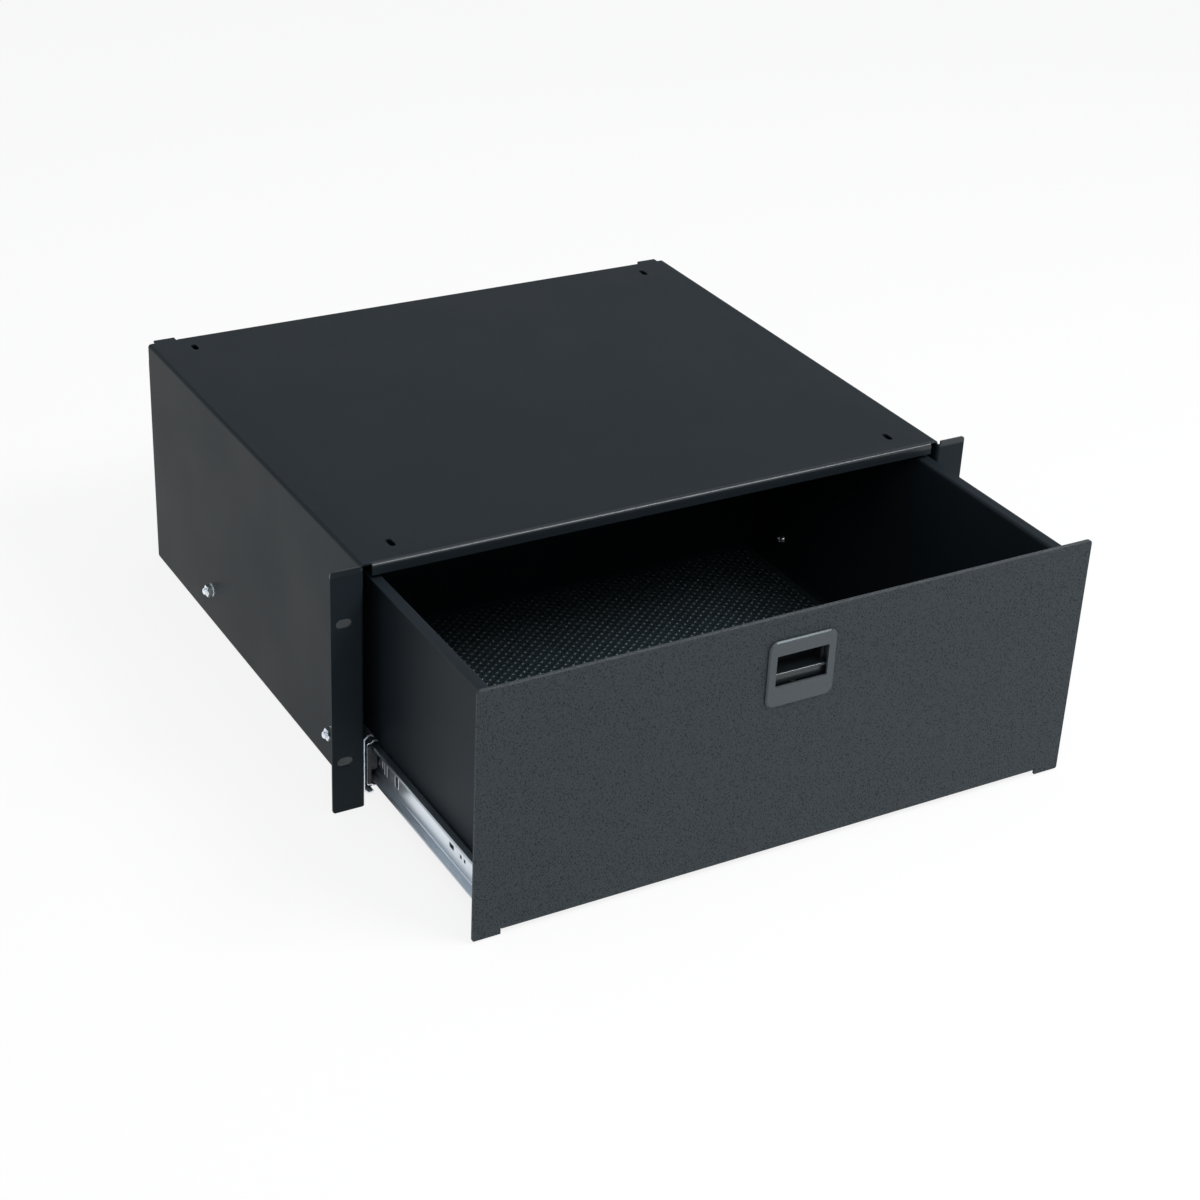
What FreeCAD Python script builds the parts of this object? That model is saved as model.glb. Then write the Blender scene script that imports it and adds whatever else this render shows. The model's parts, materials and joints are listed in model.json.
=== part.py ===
import FreeCAD, Part
import math
import os

from FreeCAD import Vector

# Sliding rack drawer, four rack units high.  A folded steel case is bolted to the rack by its
# two ears.  A steel drawer runs out of it on a pair of three-member ball-bearing slides and is
# held shut by a sprung latch that catches behind the case's front lip.
#
# Millimetres.  X runs across the rack, Y to the rear, Z up.  The origin is the centre of the
# four rack slots, on the rear face of the ears, where they meet the rack's rails.

# ---- rack interface ----
RACK_WIDTH = 482.6  # over both ears
PANEL_HEIGHT = 177.0  # four rack units, less the working gap
EAR_WIDTH = 21.3  # of each ear, past the case's wall
EAR_CORNER = 2.0
RACK_SLOT_INSET = 8.75  # of a slot's centre, from the ear's outer edge
RACK_SLOT_PITCH = 101.6  # up the ear
RACK_SLOT_LENGTH = 10.3
RACK_SLOT_WIDTH = 6.8

# ---- case ----
CASE_SHEET = 1.5
CASE_BEND = 1.0  # inner radius of the case's folds
CASE_REAR_ROOM = 28.5  # from the slides' rear end to the case's rear face
FRONT_LIP_HEIGHT = 8.0
FRONT_LIP_GAP = 5.7  # between the lip's end and the side wall
REAR_FLANGE = 12.0
REAR_TAB_REACH = 2.5  # how far the top's rear corners run past the rear flange
REAR_TAB_INSET = 6.0  # from the case's side
REAR_TAB_WIDTH = 15.8
FOLD_RELIEF = 1.2  # slit beside a fold's end
BOTTOM_FLANGE = 15.0
BOTTOM_FLANGE_START = 18.0  # behind the ears' rear face
TOP_SLOT_INSET = 29.5  # of a slot's centre, from the case's side
TOP_SLOT_FRONT = 20.4  # from the ears' rear face
TOP_SLOT_REAR = 20.6  # from the case's rear face
TOP_SLOT_LENGTH = 10.0
TOP_SLOT_WIDTH = 4.2
PLATE_SHEET = 1.2  # bottom plate and rear panel
BOTTOM_PLATE_INSET = 1.0  # behind the bottom flanges' front end
BOTTOM_PLATE_UPTURN = 14.0
REAR_PANEL_GAP = 1.5  # round the rear panel
RIVET_SHANK = 1.6  # radius
RIVET_HEAD = 3.0  # radius
RIVET_CROWN = 1.8  # radius of the head's flat end
RIVET_HEAD_HEIGHT = 1.0
REAR_RIVET_PITCH = 150.0
REAR_RIVET_INSET = 7.2  # from a flange's outer edge

# ---- slides ----
SLIDE_LENGTH = 350.0
SLIDE_SETBACK = 1.5  # behind the ears' rear face
SLIDE_SPACE = 12.7  # between the case's wall and the drawer's wall
SLIDE_HEIGHT = 45.0
SLIDE_CENTRE = 29.0  # above the case's bottom edge
OUTER_SHEET = 1.2
MIDDLE_SHEET = 1.0
DRAWER_MEMBER_SHEET = 1.2
SLIDE_BEND = 0.6
OUTER_BALL = 2.38  # radius
INNER_BALL = 1.98  # radius
BALL_CLEARANCE = 0.15
OUTER_BALL_DEPTH = 4.9  # of the ball's centre, from the case's wall
INNER_BALL_DEPTH = 8.5
MIDDLE_WEB_DEPTH = 3.2
RACE_LIP = 1.1  # turned edge that keeps the outer balls in
MIDDLE_RACE_LIP = 0.8
INNER_RACE_LIP = 1.0
CAGE_SHEET = 0.5
CAGE_BEND = 0.2
CAGE_WEB_GAP = 0.35  # between a cage and the member that it lies on
CAGE_RIM = 0.8  # of the cage's flange, past its ball holes
CAGE_STOP_GAP = 1.0  # to the stop block, drawer fully out
CAGE_REAR_GAP = 2.5
CAGE_MARGIN = 12.0  # first ball from the cage's end
BALLS_PER_ROW = 5
MOUNT_SCREW_SHANK = 2.5  # radius
MOUNT_SCREW_HEAD = 3.9  # radius
MOUNT_SCREW_TIP = 2.4  # past the nut
MOUNT_SCREW_CHAMFER = 0.5
MOUNT_SCREW_FRONT = 45.0  # from the outer member's front end
MOUNT_SCREW_REAR = 89.0  # from its rear end
SCREW_CLEARANCE = 0.1
WASHER_RADIUS = 5.0
WASHER_ROOT = 4.3  # radius between the teeth
WASHER_THICKNESS = 0.9
WASHER_TEETH = 10
NUT_FLATS = 8.0
NUT_HEIGHT = 4.0
STOP_LENGTH = 12.0
STOP_HEIGHT = 16.0
STOP_CORNER = 4.0
STOP_CLEARANCE = 1.2  # under the drawer member's web
STOP_PLATE = 1.0  # in front of the middle member's end
STOP_PLATE_HEIGHT = 29.0
STOP_PLATE_DEPTH = 5.5  # from the case's wall
STOP_SLOT_LENGTH = 3.0
STOP_SLOT_HEIGHT = 6.0
BUFFER_LENGTH = 6.0
BUFFER_DEPTH = 8.9
BUFFER_GAP = 0.3

# Windows in the members: (from the front end, or from the rear end if negative; length; height)
OUTER_WINDOWS = ((12.0, 9.0, 5.0), (90.0, 9.0, 5.0), (-20.0, 9.0, 5.0))
MIDDLE_WINDOWS = ((MOUNT_SCREW_FRONT, 24.0, 11.0), (-MOUNT_SCREW_REAR, 24.0, 11.0))
DRAWER_WINDOWS = (
    (36.3, 3.2, 3.2),
    (41.5, 3.2, 3.2),
    (54.3, 7.0, 4.2),
    (133.8, 5.0, 9.0),
    (150.2, 3.6, 11.0),
    (158.2, 6.0, 6.0),
    (-50.0, 3.6, 11.0),
)

# ---- drawer ----
REST_OPENING = 160.0  # how far the drawer stands open at rest
TRAY_SHEET = 1.2
TRAY_BEND = 1.0
TRAY_PAST_SLIDE = 3.2  # rear wall, behind the slides' rear end
TRAY_FLANGE = 7.4  # outward, along the top of the side walls
TRAY_TOP_DROP = 11.0  # below the case's top
TRAY_FLOOR = 5.7  # above the case's bottom edge
TRAY_FRONT_FLANGE = 12.0
DRAWER_BACK_FLANGE = 12.0
DRAWER_BACK_DROP = 1.2  # below the tray's flanges
MAT_SIDE_GAP = 7.6
MAT_END_GAP = 0.4
MAT_THICKNESS = 2.2
TRAY_SCREW_FRONT = 22.0  # from the drawer member's front end
TRAY_SCREW_REAR = 36.0  # from its rear end
TRAY_SCREW_SHANK = 2.0  # radius
TRAY_SCREW_HEAD = 4.0  # radius
TRAY_SCREW_CROWN = 2.8  # radius of the head's flat end
TRAY_SCREW_RIM = 1.1
TRAY_SCREW_HEAD_HEIGHT = 2.2
TRAY_SCREW_TIP = 0.9  # past the drawer member's web
RECESS_DEPTH = 1.3
RECESS_LENGTH = 4.4
RECESS_WIDTH = 0.9

# ---- front panel ----
FRONT_OVERHANG = 2.25  # past the case's sides
FRONT_SHEET = 1.9
FRONT_GAP = 0.6  # to the ears' front face, drawer closed
FRONT_TOP_DROP = 0.1  # below the case's top
FRONT_BOTTOM_RISE = 1.4  # of the two lower corner tabs, above the case's bottom edge
FRONT_TOP_CORNER = 3.0
FRONT_TAB_CORNER = 1.5
FRONT_TAB_WIDTH = 19.05
FRONT_RETURN = 14.0
FRONT_BEND = 0.5
STUD_RADIUS = 2.0
STUD_LENGTH = 8.0
STUD_INSET = 6.6  # from the tray's side
STUD_LOW = 40.0  # above the case's bottom edge
STUD_HIGH = 42.0  # below the case's top
PANEL_NUT_FLATS = 7.0
PANEL_NUT_HEIGHT = 3.2

# ---- latch ----
BEZEL_WIDTH = 49.5
BEZEL_HEIGHT = 46.6
BEZEL_TOP_DROP = 17.1  # below the case's top
BEZEL_THICKNESS = 1.8
BEZEL_CORNER = 6.0
BEZEL_CHAMFER = 0.9  # round the bezel's front
BEZEL_FLANGE = 3.0  # past the housing, all round
WINDOW_WIDTH = 38.0
WINDOW_HEIGHT = 21.8
WINDOW_DROP = 10.2  # below the bezel's top
WINDOW_CORNER = 0.8
HOUSING_DEPTH = 19.0  # behind the front panel's front face
HOUSING_WALL = 1.6
HOUSING_CORNER = 2.0
HOUSING_FIT = 0.25  # round the housing in the front panel
BEZEL_SKIN = 1.6  # of the bezel, in front of the slider
HOOK_WIDTH = 8.0
HOOK_HEIGHT = 1.2
HOOK_RAMP = 4.5
SLIDER_FIT = 0.4
SLIDER_WALL = 2.2
LEDGE_RISE = 8.0  # of the finger ledge, above the window's lower edge
SKIRT_HEIGHT = 6.5  # below the ledge
SKIRT_SETBACK = 2.0  # behind the ledge's nose
SKIRT_SHEET = 1.4
LEDGE_RADIUS = 9.0  # of the scoop behind the ledge
BOLT_WIDTH = 14.0
BOLT_DEPTH = 5.0
BOLT_REACH = 3.8  # of the bolt, above the lip's lower edge
BOLT_GAP = 0.3  # behind the lip
BOLT_RAMP = 3.6
BOLT_RAMP_HEIGHT = 5.0
SPRING_RADIUS = 2.6
SPRING_WIRE = 0.7
SPRING_TURNS = 4
PEG_LENGTH = 2.0
PEG_FIT = 0.3
COVER_SHEET = 1.2

# ---- places worked out from the sizes above ----
BOTTOM = -PANEL_HEIGHT / 2
TOP = PANEL_HEIGHT / 2
EAR_OUT = RACK_WIDTH / 2
WALL_OUT = EAR_OUT - EAR_WIDTH
WALL_IN = WALL_OUT - CASE_SHEET
EAR_FRONT = -CASE_SHEET
FOLD_START = CASE_BEND  # where the front folds end
SLIDE_REAR = SLIDE_SETBACK + SLIDE_LENGTH
REAR_FACE = SLIDE_REAR + CASE_REAR_ROOM
REAR_FOLD_START = REAR_FACE - CASE_SHEET - CASE_BEND
LIP_HALF = WALL_IN - FRONT_LIP_GAP
LIP_LOW = TOP - FRONT_LIP_HEIGHT
TRAY_OUT = WALL_IN - SLIDE_SPACE
TRAY_IN = TRAY_OUT - TRAY_SHEET
TRAY_TOP = TOP - TRAY_TOP_DROP
TRAY_REAR = SLIDE_REAR + TRAY_PAST_SLIDE
SLIDE_Z = BOTTOM + SLIDE_CENTRE
FLOOR_Z = BOTTOM + TRAY_FLOOR
PANEL_REAR = EAR_FRONT - FRONT_GAP  # drawer closed
PANEL_FRONT = PANEL_REAR - FRONT_SHEET
STAGE_TRAVEL = SLIDE_LENGTH / 2
CAGE_FRONT_GAP = STOP_LENGTH + CAGE_STOP_GAP
CAGE_LENGTH = STAGE_TRAVEL - CAGE_FRONT_GAP - CAGE_REAR_GAP
CAGE_START = SLIDE_SETBACK + STAGE_TRAVEL / 2 + CAGE_FRONT_GAP  # drawer closed
DRAWER_SHIFT = Vector(0, -REST_OPENING, 0)
CAGE_SHIFT = DRAWER_SHIFT * 0.5  # a cage moves half as far as the member beside it

PLANES = {
    "XZ": lambda a, b, c: Vector(a, c, b),
    "YZ": lambda a, b, c: Vector(c, a, b),
    "XY": lambda a, b, c: Vector(a, b, c),
}
X_AXIS = Vector(1, 0, 0)
Y_AXIS = Vector(0, 1, 0)
Z_AXIS = Vector(0, 0, 1)
NORMALS = {"XZ": Y_AXIS, "YZ": X_AXIS, "XY": Z_AXIS}
TINY = 1e-6
FACETS = 12  # round a small turned part
RIVET_FACETS = 8
BALL_FACETS = 8
BALL_BANDS = 4
COIL_STEPS = 9  # round one turn of the spring


# ---- geometry helpers ----
def extruded(outline, plane, start, length):
    """Solid from a closed outline of straight and curved pieces, drawn in one of the planes.

    Each piece is its points: two for a straight one, three for an arc.
    """
    edges = []
    for piece in outline:
        points = [PLANES[plane](a, b, start) for a, b in piece]
        if (points[0] - points[-1]).Length < TINY:
            continue
        if len(points) == 2:
            edges.append(Part.makeLine(*points))
        else:
            edges.append(Part.Arc(*points).toShape())
    face = Part.Face(Part.Wire(edges))
    return face.extrude(NORMALS[plane] * length)


def sheet_side(points, middle_radius, offset):
    """One face of a folded sheet: the middle line moved sideways, with its bends as arcs."""
    units = []
    for p, q in zip(points, points[1:]):
        length = math.dist(p, q)
        units.append(((q[0] - p[0]) / length, (q[1] - p[1]) / length))
    normals = [(-dy, dx) for dx, dy in units]
    marks = [(points[0][0] + offset * normals[0][0], points[0][1] + offset * normals[0][1])]
    arcs = []
    for i in range(1, len(points) - 1):
        (ax, ay), (bx, by) = units[i - 1], units[i]
        turn = math.atan2(ax * by - ay * bx, ax * bx + ay * by)
        way = math.copysign(1, turn)
        tangent = middle_radius * math.tan(abs(turn) / 2)
        (nx, ny), (mx, my) = normals[i - 1], normals[i]
        cx = points[i][0] - tangent * ax + way * middle_radius * nx
        cy = points[i][1] - tangent * ay + way * middle_radius * ny
        radius = middle_radius - way * offset
        hx, hy = nx + mx, ny + my
        half = math.hypot(hx, hy)
        arc = []
        for ux, uy in ((nx, ny), (hx / half, hy / half), (mx, my)):
            arc.append((cx - way * radius * ux, cy - way * radius * uy))
        arcs.append(arc)
    last = (points[-1][0] + offset * normals[-1][0], points[-1][1] + offset * normals[-1][1])
    outline = []
    here = marks[0]
    for arc in arcs:
        outline.append((here, arc[0]))
        outline.append(tuple(arc))
        here = arc[2]
    outline.append((here, last))
    return outline


def folded(points, sheet, bend, plane, start, length):
    """Sheet metal folded along its middle line's points, every bend with the same inner radius."""
    left = sheet_side(points, bend + sheet / 2, sheet / 2)
    right = sheet_side(points, bend + sheet / 2, -sheet / 2)
    back = [tuple(reversed(piece)) for piece in reversed(right)]
    ends = [(left[-1][-1], back[0][0])], [(back[-1][-1], left[0][0])]
    return extruded(left + ends[0] + back + ends[1], plane, start, length)


def rounded(a0, a1, b0, b1, radius):
    """Outline of a rectangle with round corners."""
    k = radius * (1 - math.sqrt(0.5))
    return [
        ((a0 + radius, b0), (a1 - radius, b0)),
        ((a1 - radius, b0), (a1 - k, b0 + k), (a1, b0 + radius)),
        ((a1, b0 + radius), (a1, b1 - radius)),
        ((a1, b1 - radius), (a1 - k, b1 - k), (a1 - radius, b1)),
        ((a1 - radius, b1), (a0 + radius, b1)),
        ((a0 + radius, b1), (a0 + k, b1 - k), (a0, b1 - radius)),
        ((a0, b1 - radius), (a0, b0 + radius)),
        ((a0, b0 + radius), (a0 + k, b0 + k), (a0 + radius, b0)),
    ]


def rounded_plate(a0, a1, b0, b1, radius, plane, start, length):
    return extruded(rounded(a0, a1, b0, b1, radius), plane, start, length)


def slot(a, b, length_a, length_b, plane, start, length):
    """Slot tool: its two sizes are end to end, and the shorter one sets the round ends."""
    a0, a1 = a - length_a / 2, a + length_a / 2
    b0, b1 = b - length_b / 2, b + length_b / 2
    return rounded_plate(a0, a1, b0, b1, min(length_a, length_b) / 2, plane, start, length)


def chamfered(a0, a1, b0, b1, cut):
    """Corner points of a rectangle with its corners cut off."""
    return [
        (a0 + cut, b0),
        (a1 - cut, b0),
        (a1, b0 + cut),
        (a1, b1 - cut),
        (a1 - cut, b1),
        (a0 + cut, b1),
        (a0, b1 - cut),
        (a0, b0 + cut),
    ]


def window(a, b, length_a, length_b, plane, start, length):
    """Slot tool for a pressed window, with its ends drawn in flat facets."""
    radius = min(length_a, length_b) / 2
    run_a, run_b = length_a / 2 - radius, length_b / 2 - radius
    points = []
    for k in range(FACETS):
        angle = 2 * math.pi * (k + 0.5) / FACETS
        ca, cb = math.cos(angle), math.sin(angle)
        side_a, side_b = math.copysign(run_a, ca), math.copysign(run_b, cb)
        points.append((a + side_a + radius * ca, b + side_b + radius * cb))
    return prism(points, plane, start, length)


def box(x0, x1, y0, y1, z0, z1):
    return Part.makeBox(x1 - x0, y1 - y0, z1 - z0, Vector(x0, y0, z0))


def prism(points, plane, start, length):
    closed = list(zip(points, points[1:] + points[:1]))
    return extruded(closed, plane, start, length)


def joined(solids):
    """One solid from pieces that meet."""
    return solids[0].fuse(solids[1:]).removeSplitter()


def mirrored(shape):
    """The same shape on the other side of the drawer."""
    return shape.mirror(Vector(0, 0, 0), X_AXIS)


def both_sides(solids):
    return list(solids) + [mirrored(s) for s in solids]


def moved(shape, shift):
    copy = shape.copy()
    copy.translate(shift)
    return copy


def export(name, solids):
    """One file per sub-part; a group keeps its solids apart."""
    shape = solids[0] if len(solids) == 1 else Part.makeCompound(solids)
    shape.exportStep("parts/" + name + ".step")


def face_of(corners):
    """Flat face through its corners, with any that fall together taken once."""
    apart = [c for i, c in enumerate(corners) if (c - corners[i - 1]).Length > TINY]
    return Part.Face(Part.makePolygon(apart + apart[:1]))


def ring(radius, height, sides):
    angles = [2 * math.pi * (k + 0.5) / sides for k in range(sides)]
    return [Vector(radius * math.cos(a), radius * math.sin(a), height) for a in angles]


def turned(points, base, axis, sides=FACETS):
    """Small turned part from its (radius, height) points, drawn with flat facets.

    A zero radius at either end is a point; otherwise that end is a flat face.
    """
    rings = [ring(r, h, sides) if r > 0 else [Vector(0, 0, h)] for r, h in points]
    faces = []
    for low, high in zip(rings, rings[1:]):
        for k in range(sides):
            n = (k + 1) % sides
            faces.append(face_of([low[k % len(low)], low[n % len(low)], high[n % len(high)], high[k % len(high)]]))
    faces += [face_of(end) for end in (rings[0], rings[-1]) if len(end) > 1]
    solid = Part.makeSolid(Part.makeShell(faces))
    solid.Placement = FreeCAD.Placement(base, FreeCAD.Rotation(Z_AXIS, axis))
    return solid


def pin(radius, length, base, axis, sides=FACETS):
    """Faceted round bar: a stud, or the tool for the hole of a small fastener."""
    return turned([(radius, 0), (radius, length)], base, axis, sides)


def hexagon_nut(flats, height, bore, base, axis):
    corner = flats / math.sqrt(3)
    body = turned([(corner, 0), (corner, height)], base, axis, 6)
    return body.cut(pin(bore, height, base, axis))


def rivet(base, axis, grip):
    """Rivet: a low head outside and its shank through the grip."""
    points = [
        (RIVET_CROWN, -RIVET_HEAD_HEIGHT),
        (RIVET_HEAD, 0),
        (RIVET_SHANK, 0),
        (RIVET_SHANK, grip),
    ]
    return turned(points, base, axis, RIVET_FACETS)


# ---- case ----
def case_shell():
    """Top, both sides, both ears and the front lip, folded from one sheet."""
    half = CASE_SHEET / 2
    wall = WALL_OUT - half
    corner = CASE_SHEET + CASE_BEND
    overlap = 2 * CASE_SHEET
    section = [(-wall, BOTTOM), (-wall, TOP - half), (wall, TOP - half), (wall, BOTTOM)]
    body = folded(section, CASE_SHEET, CASE_BEND, "XZ", FOLD_START, REAR_FOLD_START - FOLD_START)
    relief_start = BOTTOM_FLANGE_START - FOLD_RELIEF
    relief = box(WALL_IN, WALL_OUT, relief_start, REAR_FOLD_START, BOTTOM, BOTTOM + corner)
    pieces = [body.cut(Part.makeCompound(both_sides([relief])))]
    flange_path = [
        (wall, BOTTOM + corner + overlap),
        (wall, BOTTOM + half),
        (WALL_OUT - BOTTOM_FLANGE, BOTTOM + half),
    ]
    flange_length = REAR_FOLD_START - BOTTOM_FLANGE_START
    flange = folded(flange_path, CASE_SHEET, CASE_BEND, "XZ", BOTTOM_FLANGE_START, flange_length)

    ear_mid = EAR_FRONT + half
    ear_path = [(wall, FOLD_START + overlap), (wall, ear_mid), (EAR_OUT, ear_mid)]
    ear = folded(ear_path, CASE_SHEET, CASE_BEND, "XY", BOTTOM, PANEL_HEIGHT)
    ear = ear.makeFillet(EAR_CORNER, [e for e in ear.Edges if at_ear_corner(e)])
    ear = ear.cut(box(0, WALL_OUT + CASE_BEND, EAR_FRONT, FOLD_START + overlap, TOP - corner, TOP))
    pieces += both_sides([flange, ear])

    lip_path = [
        (FOLD_START + overlap, TOP - half),
        (ear_mid, TOP - half),
        (ear_mid, LIP_LOW),
    ]
    pieces.append(folded(lip_path, CASE_SHEET, CASE_BEND, "YZ", -LIP_HALF, 2 * LIP_HALF))

    tab_outer = WALL_OUT - REAR_TAB_INSET
    tab_inner = tab_outer - REAR_TAB_WIDTH
    flange_half = tab_inner - FOLD_RELIEF
    rear_path = [
        (REAR_FOLD_START - overlap, TOP - half),
        (REAR_FACE - half, TOP - half),
        (REAR_FACE - half, TOP - REAR_FLANGE),
    ]
    pieces.append(folded(rear_path, CASE_SHEET, CASE_BEND, "YZ", -flange_half, 2 * flange_half))
    tab_start = REAR_FOLD_START - overlap
    tab = box(tab_inner, tab_outer, tab_start, REAR_FACE + REAR_TAB_REACH, TOP - CASE_SHEET, TOP)
    side_path = [
        (wall, REAR_FOLD_START - overlap),
        (wall, REAR_FACE - half),
        (WALL_OUT - REAR_FLANGE, REAR_FACE - half),
    ]
    side_low = BOTTOM + corner
    side_high = TOP - REAR_FLANGE - FOLD_RELIEF
    side = folded(side_path, CASE_SHEET, CASE_BEND, "XY", side_low, side_high - side_low)
    pieces += both_sides([tab, side])
    return joined(pieces).cut(case_holes())


def at_ear_corner(edge):
    """True for the two outer corner edges of an ear."""
    bounds = edge.BoundBox
    return bounds.XMin > EAR_OUT - TINY and bounds.ZLength < TINY


def rack_slot_places():
    x, z = EAR_OUT - RACK_SLOT_INSET, RACK_SLOT_PITCH / 2
    return [(sx * x, sz * z) for sx in (-1, 1) for sz in (-1, 1)]


def top_slot_places():
    x = WALL_OUT - TOP_SLOT_INSET
    return [(sx * x, y) for sx in (-1, 1) for y in (TOP_SLOT_FRONT, REAR_FACE - TOP_SLOT_REAR)]


def slide_screw_places():
    """Y of the screws that hold each slide to the case's wall."""
    return [SLIDE_SETBACK + MOUNT_SCREW_FRONT, SLIDE_REAR - MOUNT_SCREW_REAR]


def rear_rivet_places():
    """(x, z) of the rivets through the rear panel, sorted by the flange they pass."""
    top_z = TOP - REAR_RIVET_INSET
    low_z = BOTTOM + CASE_SHEET + BOTTOM_PLATE_UPTURN - REAR_RIVET_INSET
    side_x = WALL_OUT - REAR_RIVET_INSET
    across = [k * REAR_RIVET_PITCH for k in (-1, 0, 1)]
    return {
        "top": [(x, top_z) for x in across],
        "side": [(-side_x, 0), (side_x, 0)],
        "bottom": [(x, low_z) for x in across],
    }


def rivet_holes(places, front, sheet):
    """Tools for rivet holes through a sheet that faces the rear."""
    radius = RIVET_SHANK + SCREW_CLEARANCE
    return [pin(radius, sheet, Vector(x, front, z), Y_AXIS, RIVET_FACETS) for x, z in places]


def case_holes():
    """Everything that is punched through the shell."""
    tools = []
    for x, z in rack_slot_places():
        tools.append(slot(x, z, RACK_SLOT_LENGTH, RACK_SLOT_WIDTH, "XZ", EAR_FRONT, CASE_SHEET))
    for x, y in top_slot_places():
        tools.append(slot(x, y, TOP_SLOT_WIDTH, TOP_SLOT_LENGTH, "XY", TOP - CASE_SHEET, CASE_SHEET))
    hole = MOUNT_SCREW_SHANK + SCREW_CLEARANCE
    for y in slide_screw_places():
        tools += both_sides([pin(hole, CASE_SHEET, Vector(WALL_IN, y, SLIDE_Z), X_AXIS)])
    places = rear_rivet_places()
    tools += rivet_holes(places["top"] + places["side"], REAR_FACE - CASE_SHEET, CASE_SHEET)
    return Part.makeCompound(tools)


def case_bottom():
    """Plate welded to the shell's bottom flanges, turned up at the rear."""
    low = BOTTOM + CASE_SHEET + PLATE_SHEET / 2
    front = BOTTOM_FLANGE_START + BOTTOM_PLATE_INSET
    upturn = REAR_FACE - CASE_SHEET - PLATE_SHEET * 1.5
    path = [(front, low), (upturn, low), (upturn, low + BOTTOM_PLATE_UPTURN)]
    half_width = WALL_IN - REAR_PANEL_GAP
    plate = folded(path, PLATE_SHEET, CASE_BEND, "YZ", -half_width, 2 * half_width)
    tools = rivet_holes(rear_rivet_places()["bottom"], upturn - PLATE_SHEET / 2, PLATE_SHEET)
    return plate.cut(Part.makeCompound(tools))


def case_rear_panel():
    """Flat panel riveted inside the rear flanges."""
    front = REAR_FACE - CASE_SHEET - PLATE_SHEET
    half_width = WALL_IN - REAR_PANEL_GAP
    low = BOTTOM + CASE_SHEET + REAR_PANEL_GAP
    high = TOP - CASE_SHEET - REAR_PANEL_GAP
    panel = box(-half_width, half_width, front, front + PLATE_SHEET, low, high)
    tools = []
    for places in rear_rivet_places().values():
        tools += rivet_holes(places, front, PLATE_SHEET)
    return panel.cut(Part.makeCompound(tools))


def rear_rivets():
    """Their heads show at the rear, on the flanges or on the panel itself."""
    places = rear_rivet_places()
    panel_rear = REAR_FACE - CASE_SHEET
    rivets = []
    for x, z in places["top"] + places["side"]:
        rivets.append(rivet(Vector(x, REAR_FACE, z), -Y_AXIS, CASE_SHEET + PLATE_SHEET))
    for x, z in places["bottom"]:
        rivets.append(rivet(Vector(x, panel_rear, z), -Y_AXIS, 2 * PLATE_SHEET))
    return rivets


# ---- slides, drawn for the right side with the depth measured from the case's wall ----
def race_reach(ball, sheet):
    """From a ball's centre to the middle of the sheet that it runs on."""
    return ball + BALL_CLEARANCE + sheet / 2


def middle_step():
    """(depth, depth, rise) of the slope between the middle member's two races."""
    start = OUTER_BALL_DEPTH + GROOVE * race_reach(OUTER_BALL, MIDDLE_SHEET)
    end = INNER_BALL_DEPTH - GROOVE * race_reach(INNER_BALL, MIDDLE_SHEET)
    return start, end, end - start


# Heights from the slide's centre line, worked out from one race to the next.
GROOVE = math.tan(math.pi / 8)
OUTER_BALL_HEIGHT = SLIDE_HEIGHT / 2 - OUTER_SHEET / 2 - race_reach(OUTER_BALL, OUTER_SHEET)
MIDDLE_LOW = OUTER_BALL_HEIGHT - race_reach(OUTER_BALL, MIDDLE_SHEET)
MIDDLE_HIGH = MIDDLE_LOW + middle_step()[2]
INNER_BALL_HEIGHT = MIDDLE_HIGH - race_reach(INNER_BALL, MIDDLE_SHEET)
DRAWER_MEMBER_HEIGHT = INNER_BALL_HEIGHT - race_reach(INNER_BALL, DRAWER_MEMBER_SHEET)


def channel(upper, sheet, bend, start, length):
    """C-section from its upper half's (depth, height) points, tip first."""
    lower = [(depth, -height) for depth, height in reversed(upper)]
    path = [(WALL_IN - depth, SLIDE_Z + height) for depth, height in upper + lower]
    return folded(path, sheet, bend, "XZ", start, length)


def member_windows(windows, depth, sheet):
    """Tools for windows given from the member's front end, or from its rear end if negative."""
    tools = []
    for place, length_y, length_z in windows:
        y = place + (SLIDE_SETBACK if place > 0 else SLIDE_REAR)
        tools.append(window(y, SLIDE_Z, length_y, length_z, "YZ", WALL_IN - depth, sheet))
    return tools


def outer_member():
    """Cabinet member: its flanges wrap round the outside of the outer balls."""
    reach = race_reach(OUTER_BALL, OUTER_SHEET)
    crown = OUTER_BALL_HEIGHT + reach
    near = OUTER_BALL_DEPTH - GROOVE * reach
    far = OUTER_BALL_DEPTH + GROOVE * reach
    web = OUTER_SHEET / 2
    upper = [(far + RACE_LIP, crown - RACE_LIP), (far, crown), (near, crown), (web, crown - near + web)]
    member = channel(upper, OUTER_SHEET, SLIDE_BEND, SLIDE_SETBACK, SLIDE_LENGTH)
    tools = [countersink(y) for y in slide_screw_places()]
    tools += member_windows(OUTER_WINDOWS, OUTER_SHEET, OUTER_SHEET)
    return member.cut(Part.makeCompound(tools))


def countersink(y):
    """Tapered hole for a flush screw in the outer member's web."""
    points = [(MOUNT_SCREW_HEAD + SCREW_CLEARANCE, 0), (MOUNT_SCREW_SHANK + SCREW_CLEARANCE, OUTER_SHEET)]
    return turned(points, Vector(WALL_IN - OUTER_SHEET, y, SLIDE_Z), X_AXIS)


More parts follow.
